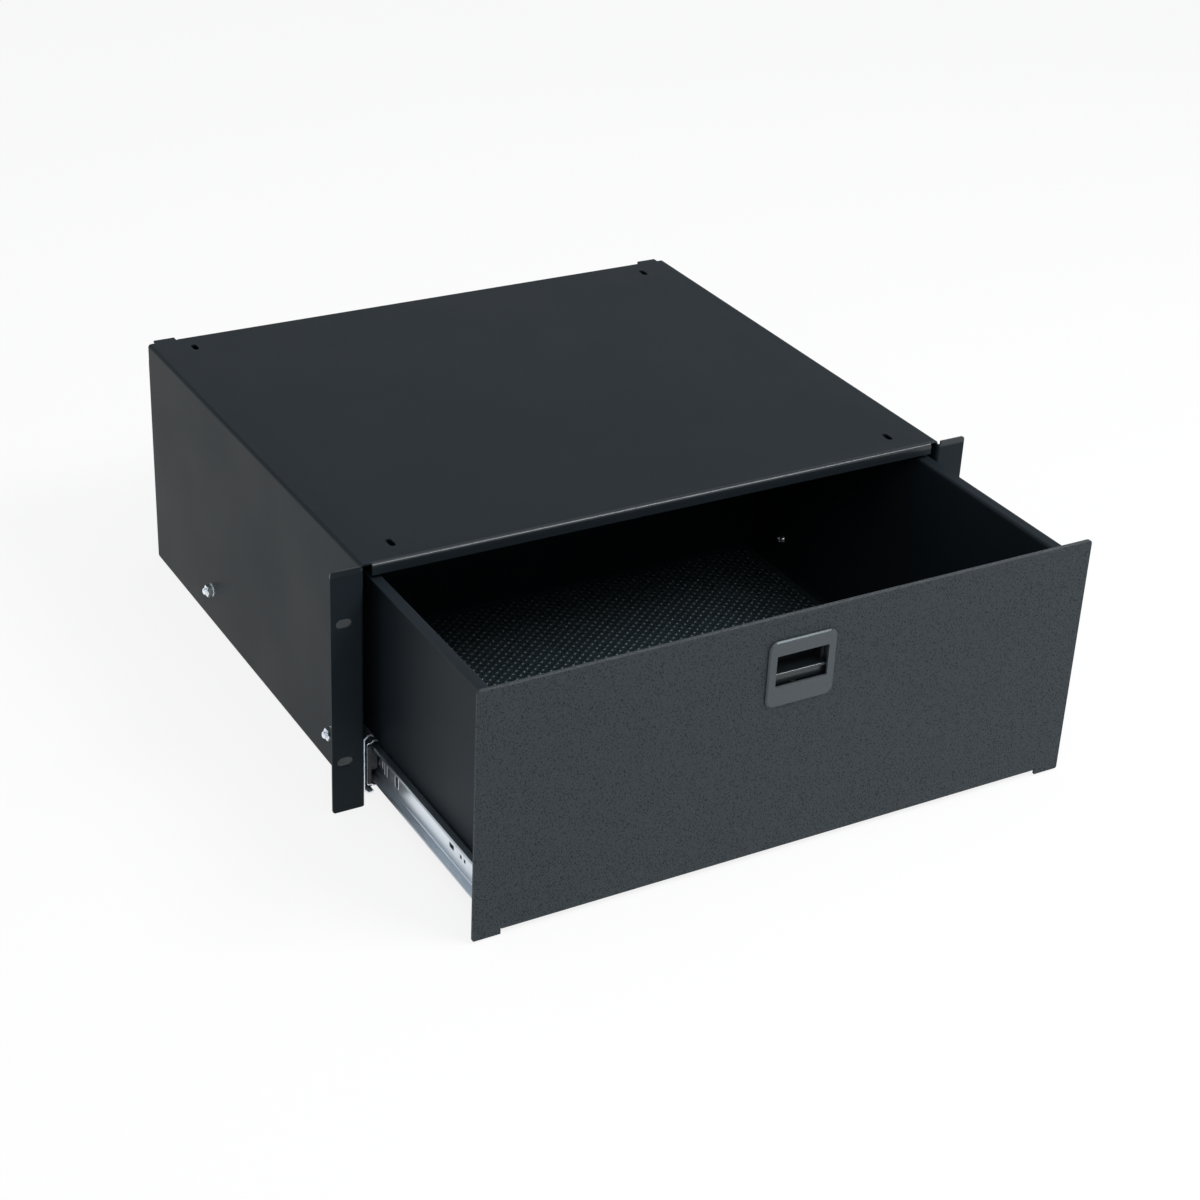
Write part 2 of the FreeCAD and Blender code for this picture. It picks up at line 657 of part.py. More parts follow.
def middle_member():
    """Its flanges run between the two sets of balls, with a race on either face."""
    start, end, rise = middle_step()
    tip = INNER_BALL_DEPTH + GROOVE * race_reach(INNER_BALL, MIDDLE_SHEET)
    lip = MIDDLE_RACE_LIP
    upper = [
        (tip + lip, MIDDLE_HIGH - lip),
        (tip, MIDDLE_HIGH),
        (end, MIDDLE_LOW + rise),
        (start, MIDDLE_LOW),
        (MIDDLE_WEB_DEPTH, MIDDLE_LOW),
    ]
    member = channel(upper, MIDDLE_SHEET, SLIDE_BEND, SLIDE_SETBACK, SLIDE_LENGTH)
    tools = member_windows(MIDDLE_WINDOWS, MIDDLE_WEB_DEPTH + MIDDLE_SHEET / 2, MIDDLE_SHEET)
    return member.cut(Part.makeCompound(tools))


def drawer_member():
    """Inner member, drawn with the drawer closed."""
    web = SLIDE_SPACE - DRAWER_MEMBER_SHEET / 2
    edge = INNER_BALL_DEPTH - GROOVE * race_reach(INNER_BALL, DRAWER_MEMBER_SHEET)
    upper = [
        (edge - INNER_RACE_LIP, DRAWER_MEMBER_HEIGHT + INNER_RACE_LIP),
        (edge, DRAWER_MEMBER_HEIGHT),
        (web, DRAWER_MEMBER_HEIGHT),
    ]
    member = channel(upper, DRAWER_MEMBER_SHEET, SLIDE_BEND, SLIDE_SETBACK, SLIDE_LENGTH)
    tools = member_windows(DRAWER_WINDOWS, SLIDE_SPACE, DRAWER_MEMBER_SHEET)
    tools += tray_screw_holes(WALL_IN - SLIDE_SPACE, DRAWER_MEMBER_SHEET)
    return member.cut(Part.makeCompound(tools))


def tray_screw_places():
    """Y of the screws between the tray and the drawer member."""
    return [SLIDE_SETBACK + TRAY_SCREW_FRONT, SLIDE_REAR - TRAY_SCREW_REAR]


def tray_screw_holes(near, sheet):
    radius = TRAY_SCREW_SHANK + SCREW_CLEARANCE
    return [pin(radius, sheet, Vector(near, y, SLIDE_Z), X_AXIS) for y in tray_screw_places()]


def cage(web_depth, row_height, ball, ball_depth):
    """Strip that carries two rows of balls and keeps them evenly spaced."""
    reach = ball + BALL_CLEARANCE
    upper = [(ball_depth + reach + CAGE_RIM, row_height), (web_depth + CAGE_SHEET / 2, row_height)]
    strip = channel(upper, CAGE_SHEET, CAGE_BEND, CAGE_START, CAGE_LENGTH)
    tools = []
    for y in ball_places():
        for way in (-1, 1):
            base = Vector(WALL_IN - ball_depth, y, SLIDE_Z + way * row_height - ball)
            tools.append(pin(reach, 2 * ball, base, Z_AXIS, BALL_FACETS))
    return strip.cut(Part.makeCompound(tools))


def ball_places():
    """Y of each ball in a row, drawer closed."""
    pitch = (CAGE_LENGTH - 2 * CAGE_MARGIN) / (BALLS_PER_ROW - 1)
    return [CAGE_START + CAGE_MARGIN + k * pitch for k in range(BALLS_PER_ROW)]


def balls(row_height, ball, ball_depth):
    """Two rows of balls, each a globe of flat facets."""
    bands = [math.pi * (k / BALL_BANDS - 0.5) for k in range(1, BALL_BANDS)]
    arc = [(0, -ball)] + [(ball * math.cos(a), ball * math.sin(a)) for a in bands] + [(0, ball)]
    solids = []
    for y in ball_places():
        for way in (-1, 1):
            centre = Vector(WALL_IN - ball_depth, y, SLIDE_Z + way * row_height)
            solids.append(turned(arc, centre, Z_AXIS, BALL_FACETS))
    return solids


def middle_stop():
    """Moulded stop block at the middle member's front end, inside the drawer member."""
    near = WALL_IN - MIDDLE_WEB_DEPTH - MIDDLE_SHEET / 2
    far = WALL_IN - SLIDE_SPACE + DRAWER_MEMBER_SHEET + STOP_CLEARANCE
    half = STOP_HEIGHT / 2
    rear = SLIDE_SETBACK + STOP_LENGTH
    plan = chamfered(SLIDE_SETBACK, rear, SLIDE_Z - half, SLIDE_Z + half, STOP_CORNER)
    block = prism(plan, "YZ", far, near - far)
    y0 = (SLIDE_SETBACK + rear - STOP_SLOT_LENGTH) / 2
    z0 = SLIDE_Z - STOP_SLOT_HEIGHT / 2
    block = block.cut(box(far, near, y0, y0 + STOP_SLOT_LENGTH, z0, z0 + STOP_SLOT_HEIGHT))
    side = WALL_IN - MIDDLE_WEB_DEPTH + MIDDLE_SHEET / 2
    edge = STOP_PLATE_HEIGHT / 2
    front = SLIDE_SETBACK - STOP_PLATE
    plate = box(WALL_IN - STOP_PLATE_DEPTH, side, front, SLIDE_SETBACK, SLIDE_Z - edge, SLIDE_Z + edge)
    neck = box(WALL_IN - STOP_PLATE_DEPTH, near, SLIDE_SETBACK, y0, SLIDE_Z - edge / 2, SLIDE_Z + edge / 2)
    return joined([block, plate, neck])


def rear_buffer():
    """Rubber buffer behind the outer member, which the middle member runs up to."""
    start = SLIDE_REAR + BUFFER_GAP
    half = STOP_HEIGHT / 2
    return box(WALL_IN - BUFFER_DEPTH, WALL_IN, start, start + BUFFER_LENGTH, SLIDE_Z - half, SLIDE_Z + half)


def mount_screw(y):
    """Flush screw from inside the outer member, out through the case's wall."""
    grip = OUTER_SHEET + CASE_SHEET + WASHER_THICKNESS + NUT_HEIGHT
    length = grip + MOUNT_SCREW_TIP
    points = [
        (MOUNT_SCREW_HEAD, 0),
        (MOUNT_SCREW_SHANK, OUTER_SHEET),
        (MOUNT_SCREW_SHANK, length - MOUNT_SCREW_CHAMFER),
        (MOUNT_SCREW_SHANK - MOUNT_SCREW_CHAMFER, length),
    ]
    return turned(points, Vector(WALL_IN - OUTER_SHEET, y, SLIDE_Z), X_AXIS)


def toothed_washer(y):
    """External-tooth lock washer against the case's wall."""
    points = []
    for k in range(2 * WASHER_TEETH):
        radius = WASHER_RADIUS if k % 2 else WASHER_ROOT
        angle = math.pi * k / WASHER_TEETH
        points.append((y + radius * math.cos(angle), SLIDE_Z + radius * math.sin(angle)))
    star = prism(points, "YZ", WALL_OUT, WASHER_THICKNESS)
    hole = MOUNT_SCREW_SHANK + SCREW_CLEARANCE
    return star.cut(pin(hole, WASHER_THICKNESS, Vector(WALL_OUT, y, SLIDE_Z), X_AXIS))


def mount_nut(y):
    base = Vector(WALL_OUT + WASHER_THICKNESS, y, SLIDE_Z)
    return hexagon_nut(NUT_FLATS, NUT_HEIGHT, MOUNT_SCREW_SHANK, base, X_AXIS)


# ---- drawer, drawn closed ----
def drawer_tray():
    """Floor and side walls in one fold, with outward top flanges and inward front flanges."""
    half = TRAY_SHEET / 2
    wall = TRAY_OUT - half
    flange_end = TRAY_OUT + TRAY_FLANGE
    corner = TRAY_SHEET + TRAY_BEND
    front = PANEL_REAR + corner
    section = [
        (-flange_end, TRAY_TOP - half),
        (-wall, TRAY_TOP - half),
        (-wall, FLOOR_Z + half),
        (wall, FLOOR_Z + half),
        (wall, TRAY_TOP - half),
        (flange_end, TRAY_TOP - half),
    ]
    pieces = [folded(section, TRAY_SHEET, TRAY_BEND, "XZ", front, TRAY_REAR - front)]
    flange_path = [
        (wall, front + 2 * TRAY_SHEET),
        (wall, PANEL_REAR + half),
        (TRAY_OUT - TRAY_FRONT_FLANGE, PANEL_REAR + half),
    ]
    low = FLOOR_Z + corner + MAT_THICKNESS
    flange = folded(flange_path, TRAY_SHEET, TRAY_BEND, "XY", low, TRAY_TOP - corner - low)
    tray = joined(pieces + both_sides([flange]))
    tools = both_sides(tray_screw_holes(TRAY_IN, TRAY_SHEET))
    for x, z in stud_places():
        tools.append(pin(STUD_RADIUS + SCREW_CLEARANCE, TRAY_SHEET, Vector(x, PANEL_REAR, z), Y_AXIS))
    return tray.cut(Part.makeCompound(tools))


def drawer_back():
    """Rear wall, its side flanges welded inside the tray's side walls."""
    wall = TRAY_IN - TRAY_SHEET / 2
    rear = TRAY_REAR - TRAY_SHEET / 2
    flange_end = rear - DRAWER_BACK_FLANGE
    path = [(-wall, flange_end), (-wall, rear), (wall, rear), (wall, flange_end)]
    low = FLOOR_Z + TRAY_SHEET
    high = TRAY_TOP - DRAWER_BACK_DROP
    back = folded(path, TRAY_SHEET, TRAY_BEND, "XY", low, high - low)
    corner = TRAY_SHEET + TRAY_BEND
    relief = box(TRAY_IN - corner, TRAY_IN, flange_end, TRAY_REAR, low, low + corner)
    return back.cut(Part.makeCompound(both_sides([relief])))


def floor_mat():
    """Loose rubber mat over the whole floor."""
    half = TRAY_IN - MAT_SIDE_GAP
    front = PANEL_REAR + MAT_END_GAP
    rear = TRAY_REAR - TRAY_SHEET - MAT_END_GAP
    low = FLOOR_Z + TRAY_SHEET
    return box(-half, half, front, rear, low, low + MAT_THICKNESS)


def tray_screw(y):
    """Pan-head screw from inside the tray into the drawer member, with a cross recess."""
    points = [
        (TRAY_SCREW_CROWN, -TRAY_SCREW_HEAD_HEIGHT),
        (TRAY_SCREW_HEAD, -TRAY_SCREW_RIM),
        (TRAY_SCREW_HEAD, 0),
        (TRAY_SCREW_SHANK, 0),
        (TRAY_SCREW_SHANK, TRAY_SHEET + DRAWER_MEMBER_SHEET + TRAY_SCREW_TIP),
    ]
    screw = turned(points, Vector(TRAY_IN, y, SLIDE_Z), X_AXIS)
    x0 = TRAY_IN - TRAY_SCREW_HEAD_HEIGHT
    x1 = x0 + RECESS_DEPTH
    cross = []
    for a, b in ((RECESS_LENGTH / 2, RECESS_WIDTH / 2), (RECESS_WIDTH / 2, RECESS_LENGTH / 2)):
        cross.append(box(x0, x1, y - a, y + a, SLIDE_Z - b, SLIDE_Z + b))
    return screw.cut(cross)


def stud_places():
    """(x, z) of the studs that hold the front panel to the tray's front flanges."""
    x = TRAY_OUT - STUD_INSET
    return [(sx * x, z) for sx in (-1, 1) for z in (BOTTOM + STUD_LOW, TOP - STUD_HIGH)]


def front_panel():
    """Plate with a return folded back under the tray, between two lower corner tabs."""
    half = WALL_OUT + FRONT_OVERHANG
    top = TOP - FRONT_TOP_DROP
    low = BOTTOM + FRONT_BOTTOM_RISE
    sheet = ("XZ", PANEL_FRONT, FRONT_SHEET)
    plate = rounded_plate(-half, half, low, top + FRONT_TOP_CORNER, FRONT_TAB_CORNER, *sheet)
    crown = rounded_plate(-half, half, low - FRONT_TOP_CORNER, top, FRONT_TOP_CORNER, *sheet)
    plate = plate.common(crown)
    fold_z = FLOOR_Z + FRONT_BEND
    notch_half = half - FRONT_TAB_WIDTH
    plate = plate.cut(box(-notch_half, notch_half, PANEL_FRONT, PANEL_REAR, low, fold_z))
    middle = PANEL_FRONT + FRONT_SHEET / 2
    return_z = FLOOR_Z - FRONT_SHEET / 2
    path = [(middle, fold_z + FRONT_SHEET), (middle, return_z), (PANEL_REAR + FRONT_RETURN, return_z)]
    return_half = notch_half - FOLD_RELIEF
    fold = folded(path, FRONT_SHEET, FRONT_BEND, "YZ", -return_half, 2 * return_half)
    opening = housing_box(HOUSING_FIT, PANEL_FRONT, FRONT_SHEET)
    return joined([plate, fold]).cut(opening)


def panel_studs():
    """Clinch studs, seated against the panel's rear face."""
    return [pin(STUD_RADIUS, STUD_LENGTH, Vector(x, PANEL_REAR, z), Y_AXIS) for x, z in stud_places()]


def panel_nuts():
    nuts = []
    for x, z in stud_places():
        base = Vector(x, PANEL_REAR + TRAY_SHEET, z)
        nuts.append(hexagon_nut(PANEL_NUT_FLATS, PANEL_NUT_HEIGHT, STUD_RADIUS, base, Y_AXIS))
    return nuts


# ---- latch, drawn with the drawer closed ----
BEZEL_FRONT = PANEL_FRONT - BEZEL_THICKNESS
BEZEL_TOP = TOP - BEZEL_TOP_DROP
BEZEL_LOW = BEZEL_TOP - BEZEL_HEIGHT
HOUSING_HALF = BEZEL_WIDTH / 2 - BEZEL_FLANGE
HOUSING_TOP = BEZEL_TOP - BEZEL_FLANGE
HOUSING_LOW = BEZEL_LOW + BEZEL_FLANGE
HOUSING_REAR = PANEL_FRONT + HOUSING_DEPTH
COVER_FRONT = HOUSING_REAR - COVER_SHEET
CAVITY_FRONT = BEZEL_FRONT + BEZEL_SKIN
WINDOW_TOP = BEZEL_TOP - WINDOW_DROP
LEDGE_Z = WINDOW_TOP - WINDOW_HEIGHT + LEDGE_RISE
BOLT_FRONT = EAR_FRONT + CASE_SHEET + BOLT_GAP
BOLT_TOP = LIP_LOW + BOLT_REACH
SLIDER_BACK = COVER_FRONT - SLIDER_FIT
SLIDER_ROOF = HOUSING_TOP - HOUSING_WALL - SLIDER_FIT
SPRING_Y = SLIDER_BACK - LEDGE_RADIUS - SPRING_RADIUS / 2
SPRING_FLOOR = HOUSING_LOW + HOUSING_WALL


def housing_box(margin, start, length):
    half = HOUSING_HALF + margin
    plan = chamfered(-half, half, HOUSING_LOW - margin, HOUSING_TOP + margin, HOUSING_CORNER)
    return prism(plan, "XZ", start, length)


def latch_housing():
    """Moulded surround, with a box behind it that guides the slider."""
    half = BEZEL_WIDTH / 2
    bezel = rounded_plate(-half, half, BEZEL_LOW, BEZEL_TOP, BEZEL_CORNER, "XZ", BEZEL_FRONT, BEZEL_THICKNESS)
    bezel = bezel.makeChamfer(BEZEL_CHAMFER, [e for e in bezel.Edges if e.BoundBox.YMax < BEZEL_FRONT + TINY])
    body = housing_box(0, PANEL_FRONT, COVER_FRONT - PANEL_FRONT)
    side = HOUSING_HALF - HOUSING_WALL
    roof = HOUSING_TOP - HOUSING_WALL
    cavity = box(-side, side, CAVITY_FRONT, COVER_FRONT, SPRING_FLOOR, roof)
    edge = WINDOW_WIDTH / 2
    plan = rounded(-edge, edge, WINDOW_TOP - WINDOW_HEIGHT, WINDOW_TOP, WINDOW_CORNER)
    opening = extruded(plan, "XZ", BEZEL_FRONT, BEZEL_SKIN)
    bolt_half = BOLT_WIDTH / 2 + SLIDER_FIT
    bolt_rear = BOLT_FRONT + BOLT_DEPTH + SLIDER_FIT
    passage = box(-bolt_half, bolt_half, BOLT_FRONT - SLIDER_FIT, bolt_rear, roof, HOUSING_TOP)
    start = PANEL_REAR + HOUSING_FIT
    points = [(HOUSING_HALF, start), (HOUSING_HALF + HOOK_HEIGHT, start), (HOUSING_HALF, start + HOOK_RAMP)]
    hook = prism(points, "XY", (BEZEL_LOW + BEZEL_TOP - HOOK_WIDTH) / 2, HOOK_WIDTH)
    whole = joined([bezel, body]).cut([cavity, opening, passage])
    return joined([whole] + both_sides([hook]))


def latch_cover():
    """Plate that closes the housing's rear and keeps the slider in."""
    return housing_box(0, COVER_FRONT, COVER_SHEET)


def latch_slider():
    """Finger scoop with a curved ledge, and the bolt that stands on it."""
    wall = SLIDER_WALL
    nose = CAVITY_FRONT + SLIDER_FIT
    front = nose + wall / 2
    back = SLIDER_BACK
    inside = back - wall
    turn = LEDGE_RADIUS
    low = LEDGE_Z - wall
    roof = SLIDER_ROOF
    near = 1 - math.sqrt(0.5)
    inner_turn = turn - wall
    start = back - turn
    outline = [
        ((back, roof), (back, low + turn)),
        ((back, low + turn), (back - near * turn, low + near * turn), (start, low)),
        ((start, low), (front, low)),
        ((front, low), (nose, low + wall / 2), (front, LEDGE_Z)),
        ((front, LEDGE_Z), (start, LEDGE_Z)),
        (
            (start, LEDGE_Z),
            (inside - near * inner_turn, LEDGE_Z + near * inner_turn),
            (inside, LEDGE_Z + inner_turn),
        ),
        ((inside, LEDGE_Z + inner_turn), (inside, roof)),
        ((inside, roof), (back, roof)),
    ]
    half = HOUSING_HALF - HOUSING_WALL - SLIDER_FIT
    scoop = extruded(outline, "YZ", -half, 2 * half)
    ridge = box(-half, half, BOLT_FRONT, back, roof - wall, roof)
    rib = box(half - wall, half, BOLT_FRONT, start + turn / 2, LEDGE_Z - wall / 2, roof)
    skirt_front = nose + SKIRT_SETBACK
    skirt = box(-half, half, skirt_front, skirt_front + SKIRT_SHEET, low - SKIRT_HEIGHT, low + wall / 2)
    rear = BOLT_FRONT + BOLT_DEPTH
    bolt_points = [
        (BOLT_FRONT, roof - wall),
        (rear, roof - wall),
        (rear, BOLT_TOP - BOLT_RAMP_HEIGHT),
        (rear - BOLT_RAMP, BOLT_TOP),
        (BOLT_FRONT, BOLT_TOP),
    ]
    bolt = prism(bolt_points, "YZ", -BOLT_WIDTH / 2, BOLT_WIDTH)
    peg_radius = SPRING_RADIUS - SPRING_WIRE - PEG_FIT
    peg = pin(peg_radius, PEG_LENGTH + wall / 2, Vector(0, SPRING_Y, low - PEG_LENGTH), Z_AXIS)
    return joined([scoop, ridge, bolt, peg, skirt] + both_sides([rib]))


def latch_spring():
    """Compression spring under the slider: a square wire wound in straight steps."""
    low = SPRING_FLOOR
    high = LEDGE_Z - SLIDER_WALL - SPRING_WIRE
    steps = SPRING_TURNS * COIL_STEPS
    inner = SPRING_RADIUS - SPRING_WIRE
    sections = []
    for k in range(steps + 1):
        angle = 2 * math.pi * k / COIL_STEPS
        z = low + (high - low) * k / steps
        out = Vector(math.cos(angle), math.sin(angle), 0)
        base = Vector(0, SPRING_Y, z)
        rise = Z_AXIS * SPRING_WIRE
        near, far = base + out * inner, base + out * SPRING_RADIUS
        sections.append([near, far, far + rise, near + rise])
    faces = [face_of(sections[0]), face_of(sections[-1])]
    for first, second in zip(sections, sections[1:]):
        for k in range(4):
            n = (k + 1) % 4
            faces.append(face_of([first[k], first[n], second[k]]))
            faces.append(face_of([first[n], second[n], second[k]]))
    return Part.makeSolid(Part.makeShell(faces))


def main():
    os.makedirs("parts", exist_ok=True)
    case = {
        "case_shell": [case_shell()],
        "case_bottom": [case_bottom()],
        "case_rear_panel": [case_rear_panel()],
        "rear_rivets": rear_rivets(),
        "slide_screws": both_sides([mount_screw(y) for y in slide_screw_places()]),
        "toothed_washers": both_sides([toothed_washer(y) for y in slide_screw_places()]),
        "slide_nuts": both_sides([mount_nut(y) for y in slide_screw_places()]),
        "rear_buffers": both_sides([rear_buffer()]),
    }
    for name, solids in case.items():
        export(name, solids)

    outer_row = (OUTER_BALL_HEIGHT, OUTER_BALL, OUTER_BALL_DEPTH)
    inner_row = (INNER_BALL_HEIGHT, INNER_BALL, INNER_BALL_DEPTH)
    outer_web = OUTER_SHEET + CAGE_WEB_GAP
    inner_web = MIDDLE_WEB_DEPTH + MIDDLE_SHEET / 2 + CAGE_WEB_GAP
    slide = {
        "outer_member": [outer_member()],
        "middle_member": [middle_member()],
        "middle_stop": [middle_stop()],
        "drawer_member": [moved(drawer_member(), DRAWER_SHIFT)],
        "outer_cage": [cage(outer_web, *outer_row)],
        "outer_balls": balls(*outer_row),
        "inner_cage": [moved(cage(inner_web, *inner_row), CAGE_SHIFT)],
        "inner_balls": [moved(ball, CAGE_SHIFT) for ball in balls(*inner_row)],
    }
    for name, solids in slide.items():
        export("right_" + name, solids)
        export("left_" + name, [mirrored(s) for s in solids])

    drawer = {
        "drawer_tray": [drawer_tray()],
        "drawer_back": [drawer_back()],
        "floor_mat": [floor_mat()],
        "tray_screws": both_sides([tray_screw(y) for y in tray_screw_places()]),
        "front_panel": [front_panel()],
        "panel_studs": panel_studs(),
        "panel_nuts": panel_nuts(),
        "latch_housing": [latch_housing()],
        "latch_cover": [latch_cover()],
        "latch_slider": [latch_slider()],
        "latch_spring": [latch_spring()],
    }
    for name, solids in drawer.items():
        export(name, [moved(s, DRAWER_SHIFT) for s in solids])


main()
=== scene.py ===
import json
import math

import bmesh
import bpy
import numpy as np
from bpy.props import FloatProperty, FloatVectorProperty, PointerProperty
from mathutils import Matrix, Vector


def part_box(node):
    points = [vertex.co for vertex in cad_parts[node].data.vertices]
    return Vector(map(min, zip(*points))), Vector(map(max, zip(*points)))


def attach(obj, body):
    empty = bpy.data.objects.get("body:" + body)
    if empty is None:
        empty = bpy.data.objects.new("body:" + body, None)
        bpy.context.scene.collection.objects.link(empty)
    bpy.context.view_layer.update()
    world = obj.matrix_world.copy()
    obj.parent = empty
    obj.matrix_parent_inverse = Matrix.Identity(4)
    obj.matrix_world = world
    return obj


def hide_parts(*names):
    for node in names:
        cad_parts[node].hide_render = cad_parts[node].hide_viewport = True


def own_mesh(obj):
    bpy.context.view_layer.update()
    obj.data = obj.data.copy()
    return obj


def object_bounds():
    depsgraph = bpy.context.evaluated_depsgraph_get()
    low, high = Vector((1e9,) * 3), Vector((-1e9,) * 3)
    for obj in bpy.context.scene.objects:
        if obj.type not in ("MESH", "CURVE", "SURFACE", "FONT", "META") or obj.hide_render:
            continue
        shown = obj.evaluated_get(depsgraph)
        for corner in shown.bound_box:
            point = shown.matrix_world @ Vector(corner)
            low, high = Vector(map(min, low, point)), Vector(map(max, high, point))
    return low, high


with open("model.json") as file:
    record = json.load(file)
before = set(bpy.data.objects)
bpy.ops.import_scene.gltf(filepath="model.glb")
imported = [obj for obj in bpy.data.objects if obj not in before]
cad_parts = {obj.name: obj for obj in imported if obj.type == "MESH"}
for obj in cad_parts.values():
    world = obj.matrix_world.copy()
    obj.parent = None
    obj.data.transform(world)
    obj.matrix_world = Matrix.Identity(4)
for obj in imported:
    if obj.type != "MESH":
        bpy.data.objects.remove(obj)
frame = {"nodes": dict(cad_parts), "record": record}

bl_info = {
    "name": "Rack Drawer",
    "version": (1, 0, 0),
    "blender": (4, 5, 0),
    "location": "3D View > Sidebar > Rack Drawer",
    "description": "Dresses a sliding rack drawer: sheet metal, ball-bearing slides, mat and latch",
    "category": "Add Mesh",
}

# Metres, in the frame's axes: X across the rack, Y to the rear, Z up.  The drawer stands open.

CAD_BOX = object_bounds()
RECORD = frame["record"]
BODY_OF = {n: body for body, nodes in RECORD["behaviour"]["bodies"].items() for n in nodes}
SLOT_OF = {part["node"]: part["material_slot"] for part in RECORD["subparts"]}
SIDES = ("left", "right")

MAT_LOW, MAT_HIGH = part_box("floor_mat")
CASE_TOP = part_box("case_shell")[1].z
PANEL_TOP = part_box("front_panel")[1].z
BEZEL_CROWN = 0.0008  # from the latch's foremost point back to its bezel's face
BEZEL_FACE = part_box("latch_housing")[0].y + BEZEL_CROWN
SCREW_ROWS = (0.0465, 0.2625)  # along Y: the screws that hold the slides
TRAY_SCREW_ROWS = (-0.1365, 0.1555)  # along Y: the screws through the tray's sides
# Windows of a drawer member: behind its front end, or before its rear end if negative; width; height.
WINDOWS = (
    (0.0363, 0.0032, 0.0032),
    (0.0415, 0.0032, 0.0032),
    (0.0543, 0.0070, 0.0042),
    (0.1338, 0.0050, 0.0090),
    (0.1502, 0.0036, 0.0110),
    (0.1582, 0.0060, 0.0060),
    (-0.0500, 0.0036, 0.0110),
)

SHARP = 35  # degrees between two faces, past which their edge is a real one
WELD = 2e-6  # doubled points of a CAD mesh lie nearer than this
POLE_WELD = 1e-7  # and those of a pole in a worked-out surface nearer than this
ON_AXIS = 1e-6  # a radius smaller than this stands for the axis itself
FLAT = 1  # degrees between two faces, under which they are one
ALL_SMOOTH = 180  # as a smooth angle: no edge is sharp


# ---- settings ----
class CoatSettings(bpy.types.PropertyGroup):
    case_colour: FloatVectorProperty(
        name="Case colour", description="Fine black powder coat of the case and tray",
        default=(0.0098, 0.0140, 0.0175), size=3, subtype="COLOR", min=0, max=1)
    front_colour: FloatVectorProperty(
        name="Front colour", description="Coarser charcoal powder coat of the front panel",
        default=(0.0215, 0.0270, 0.0308), size=3, subtype="COLOR", min=0, max=1)
    fleck_colour: FloatVectorProperty(
        name="Fleck colour", description="Pits between the grains of the front's coat",
        default=(0.0022, 0.0029, 0.0034), size=3, subtype="COLOR", min=0, max=1)
    bend_gloss: FloatProperty(
        name="Bend gloss",
        description="Smooth glossy coat along the front lip's bend and the panel's top edge",
        default=0.8, min=0, max=1)
    grain: FloatProperty(
        name="Grain", description="Size of a grain in the front's coat",
        default=0.0009, unit="LENGTH", min=0.0002)
    case_grain: FloatProperty(
        name="Case grain", description="Size of a grain in the case's coat",
        default=0.00045, unit="LENGTH", min=0.0001)


class MetalSettings(bpy.types.PropertyGroup):
    zinc_colour: FloatVectorProperty(
        name="Zinc colour", description="Bright bluish zinc plate on the slides",
        default=(0.82, 0.88, 0.94), size=3, subtype="COLOR", min=0, max=1)


class MouldingSettings(bpy.types.PropertyGroup):
    latch_colour: FloatVectorProperty(
        name="Latch colour", description="Semi-gloss moulding of the latch's bezel",
        default=(0.054, 0.060, 0.065), size=3, subtype="COLOR", min=0, max=1)
    # Painted shade: a dark colour laid inside the latch's finger recess, where shade falls
    recess_shade_colour: FloatVectorProperty(
        name="Recess colour", description="Darker skin inside the latch's finger recess",
        default=(0.004, 0.006, 0.007), size=3, subtype="COLOR", min=0, max=1)
    mat_colour: FloatVectorProperty(
        name="Mat colour", description="Rubber of the mat and its pads",
        default=(0.022, 0.034, 0.039), size=3, subtype="COLOR", min=0, max=1)
    buffer_colour: FloatVectorProperty(
        name="Buffer colour", description="Rubber of the rear buffers",
        default=(0.010, 0.010, 0.010), size=3, subtype="COLOR", min=0, max=1)
    stop_colour: FloatVectorProperty(
        name="Stop colour", description="Plastic of the stop blocks on the slides",
        default=(0.010, 0.010, 0.011), size=3, subtype="COLOR", min=0, max=1)
    rivet_colour: FloatVectorProperty(
        name="Rivet colour", description="Black oxide on the rivets",
        default=(0.012, 0.013, 0.014), size=3, subtype="COLOR", min=0, max=1)


class EdgeSettings(bpy.types.PropertyGroup):
    shell: FloatProperty(
        name="Shell edge", description="Rounding of the case shell's edges",
        default=0.00030, unit="LENGTH", min=0)
    sheet: FloatProperty(
        name="Sheet edge", description="Rounding of the other sheets' edges",
        default=0.00025, unit="LENGTH", min=0)
    panel: FloatProperty(
        name="Panel edge", description="Rounding of the front panel's edges",
        default=0.00040, unit="LENGTH", min=0)
    member: FloatProperty(
        name="Member edge", description="Rounding of the rolled slide members' edges",
        default=0.00028, unit="LENGTH", min=0)
    stop: FloatProperty(
        name="Stop edge", description="Rounding of the stop blocks' edges",
        default=0.0004, unit="LENGTH", min=0)
    latch: FloatProperty(
        name="Latch edge", description="Rounding of the latch's housing and bolt",
        default=0.0006, unit="LENGTH", min=0)
    latch_cover: FloatProperty(
        name="Latch cover edge", description="Rounding of the latch's rear cover",
        default=0.0003, unit="LENGTH", min=0)
    mat: FloatProperty(
        name="Mat edge", description="Rounding of the mat's edges",
        default=0.0004, unit="LENGTH", min=0)
    buffer: FloatProperty(
        name="Buffer edge", description="Rounding of the rear buffers' edges",
        default=0.0005, unit="LENGTH", min=0)
    fixing: FloatProperty(
        name="Fixing edge", description="Rounding of rivets, studs and their nuts",
        default=0.0002, unit="LENGTH", min=0)
    cage: FloatProperty(
        name="Cage edge", description="Rounding of the ball cages' edges",
        default=0.0001, unit="LENGTH", min=0)


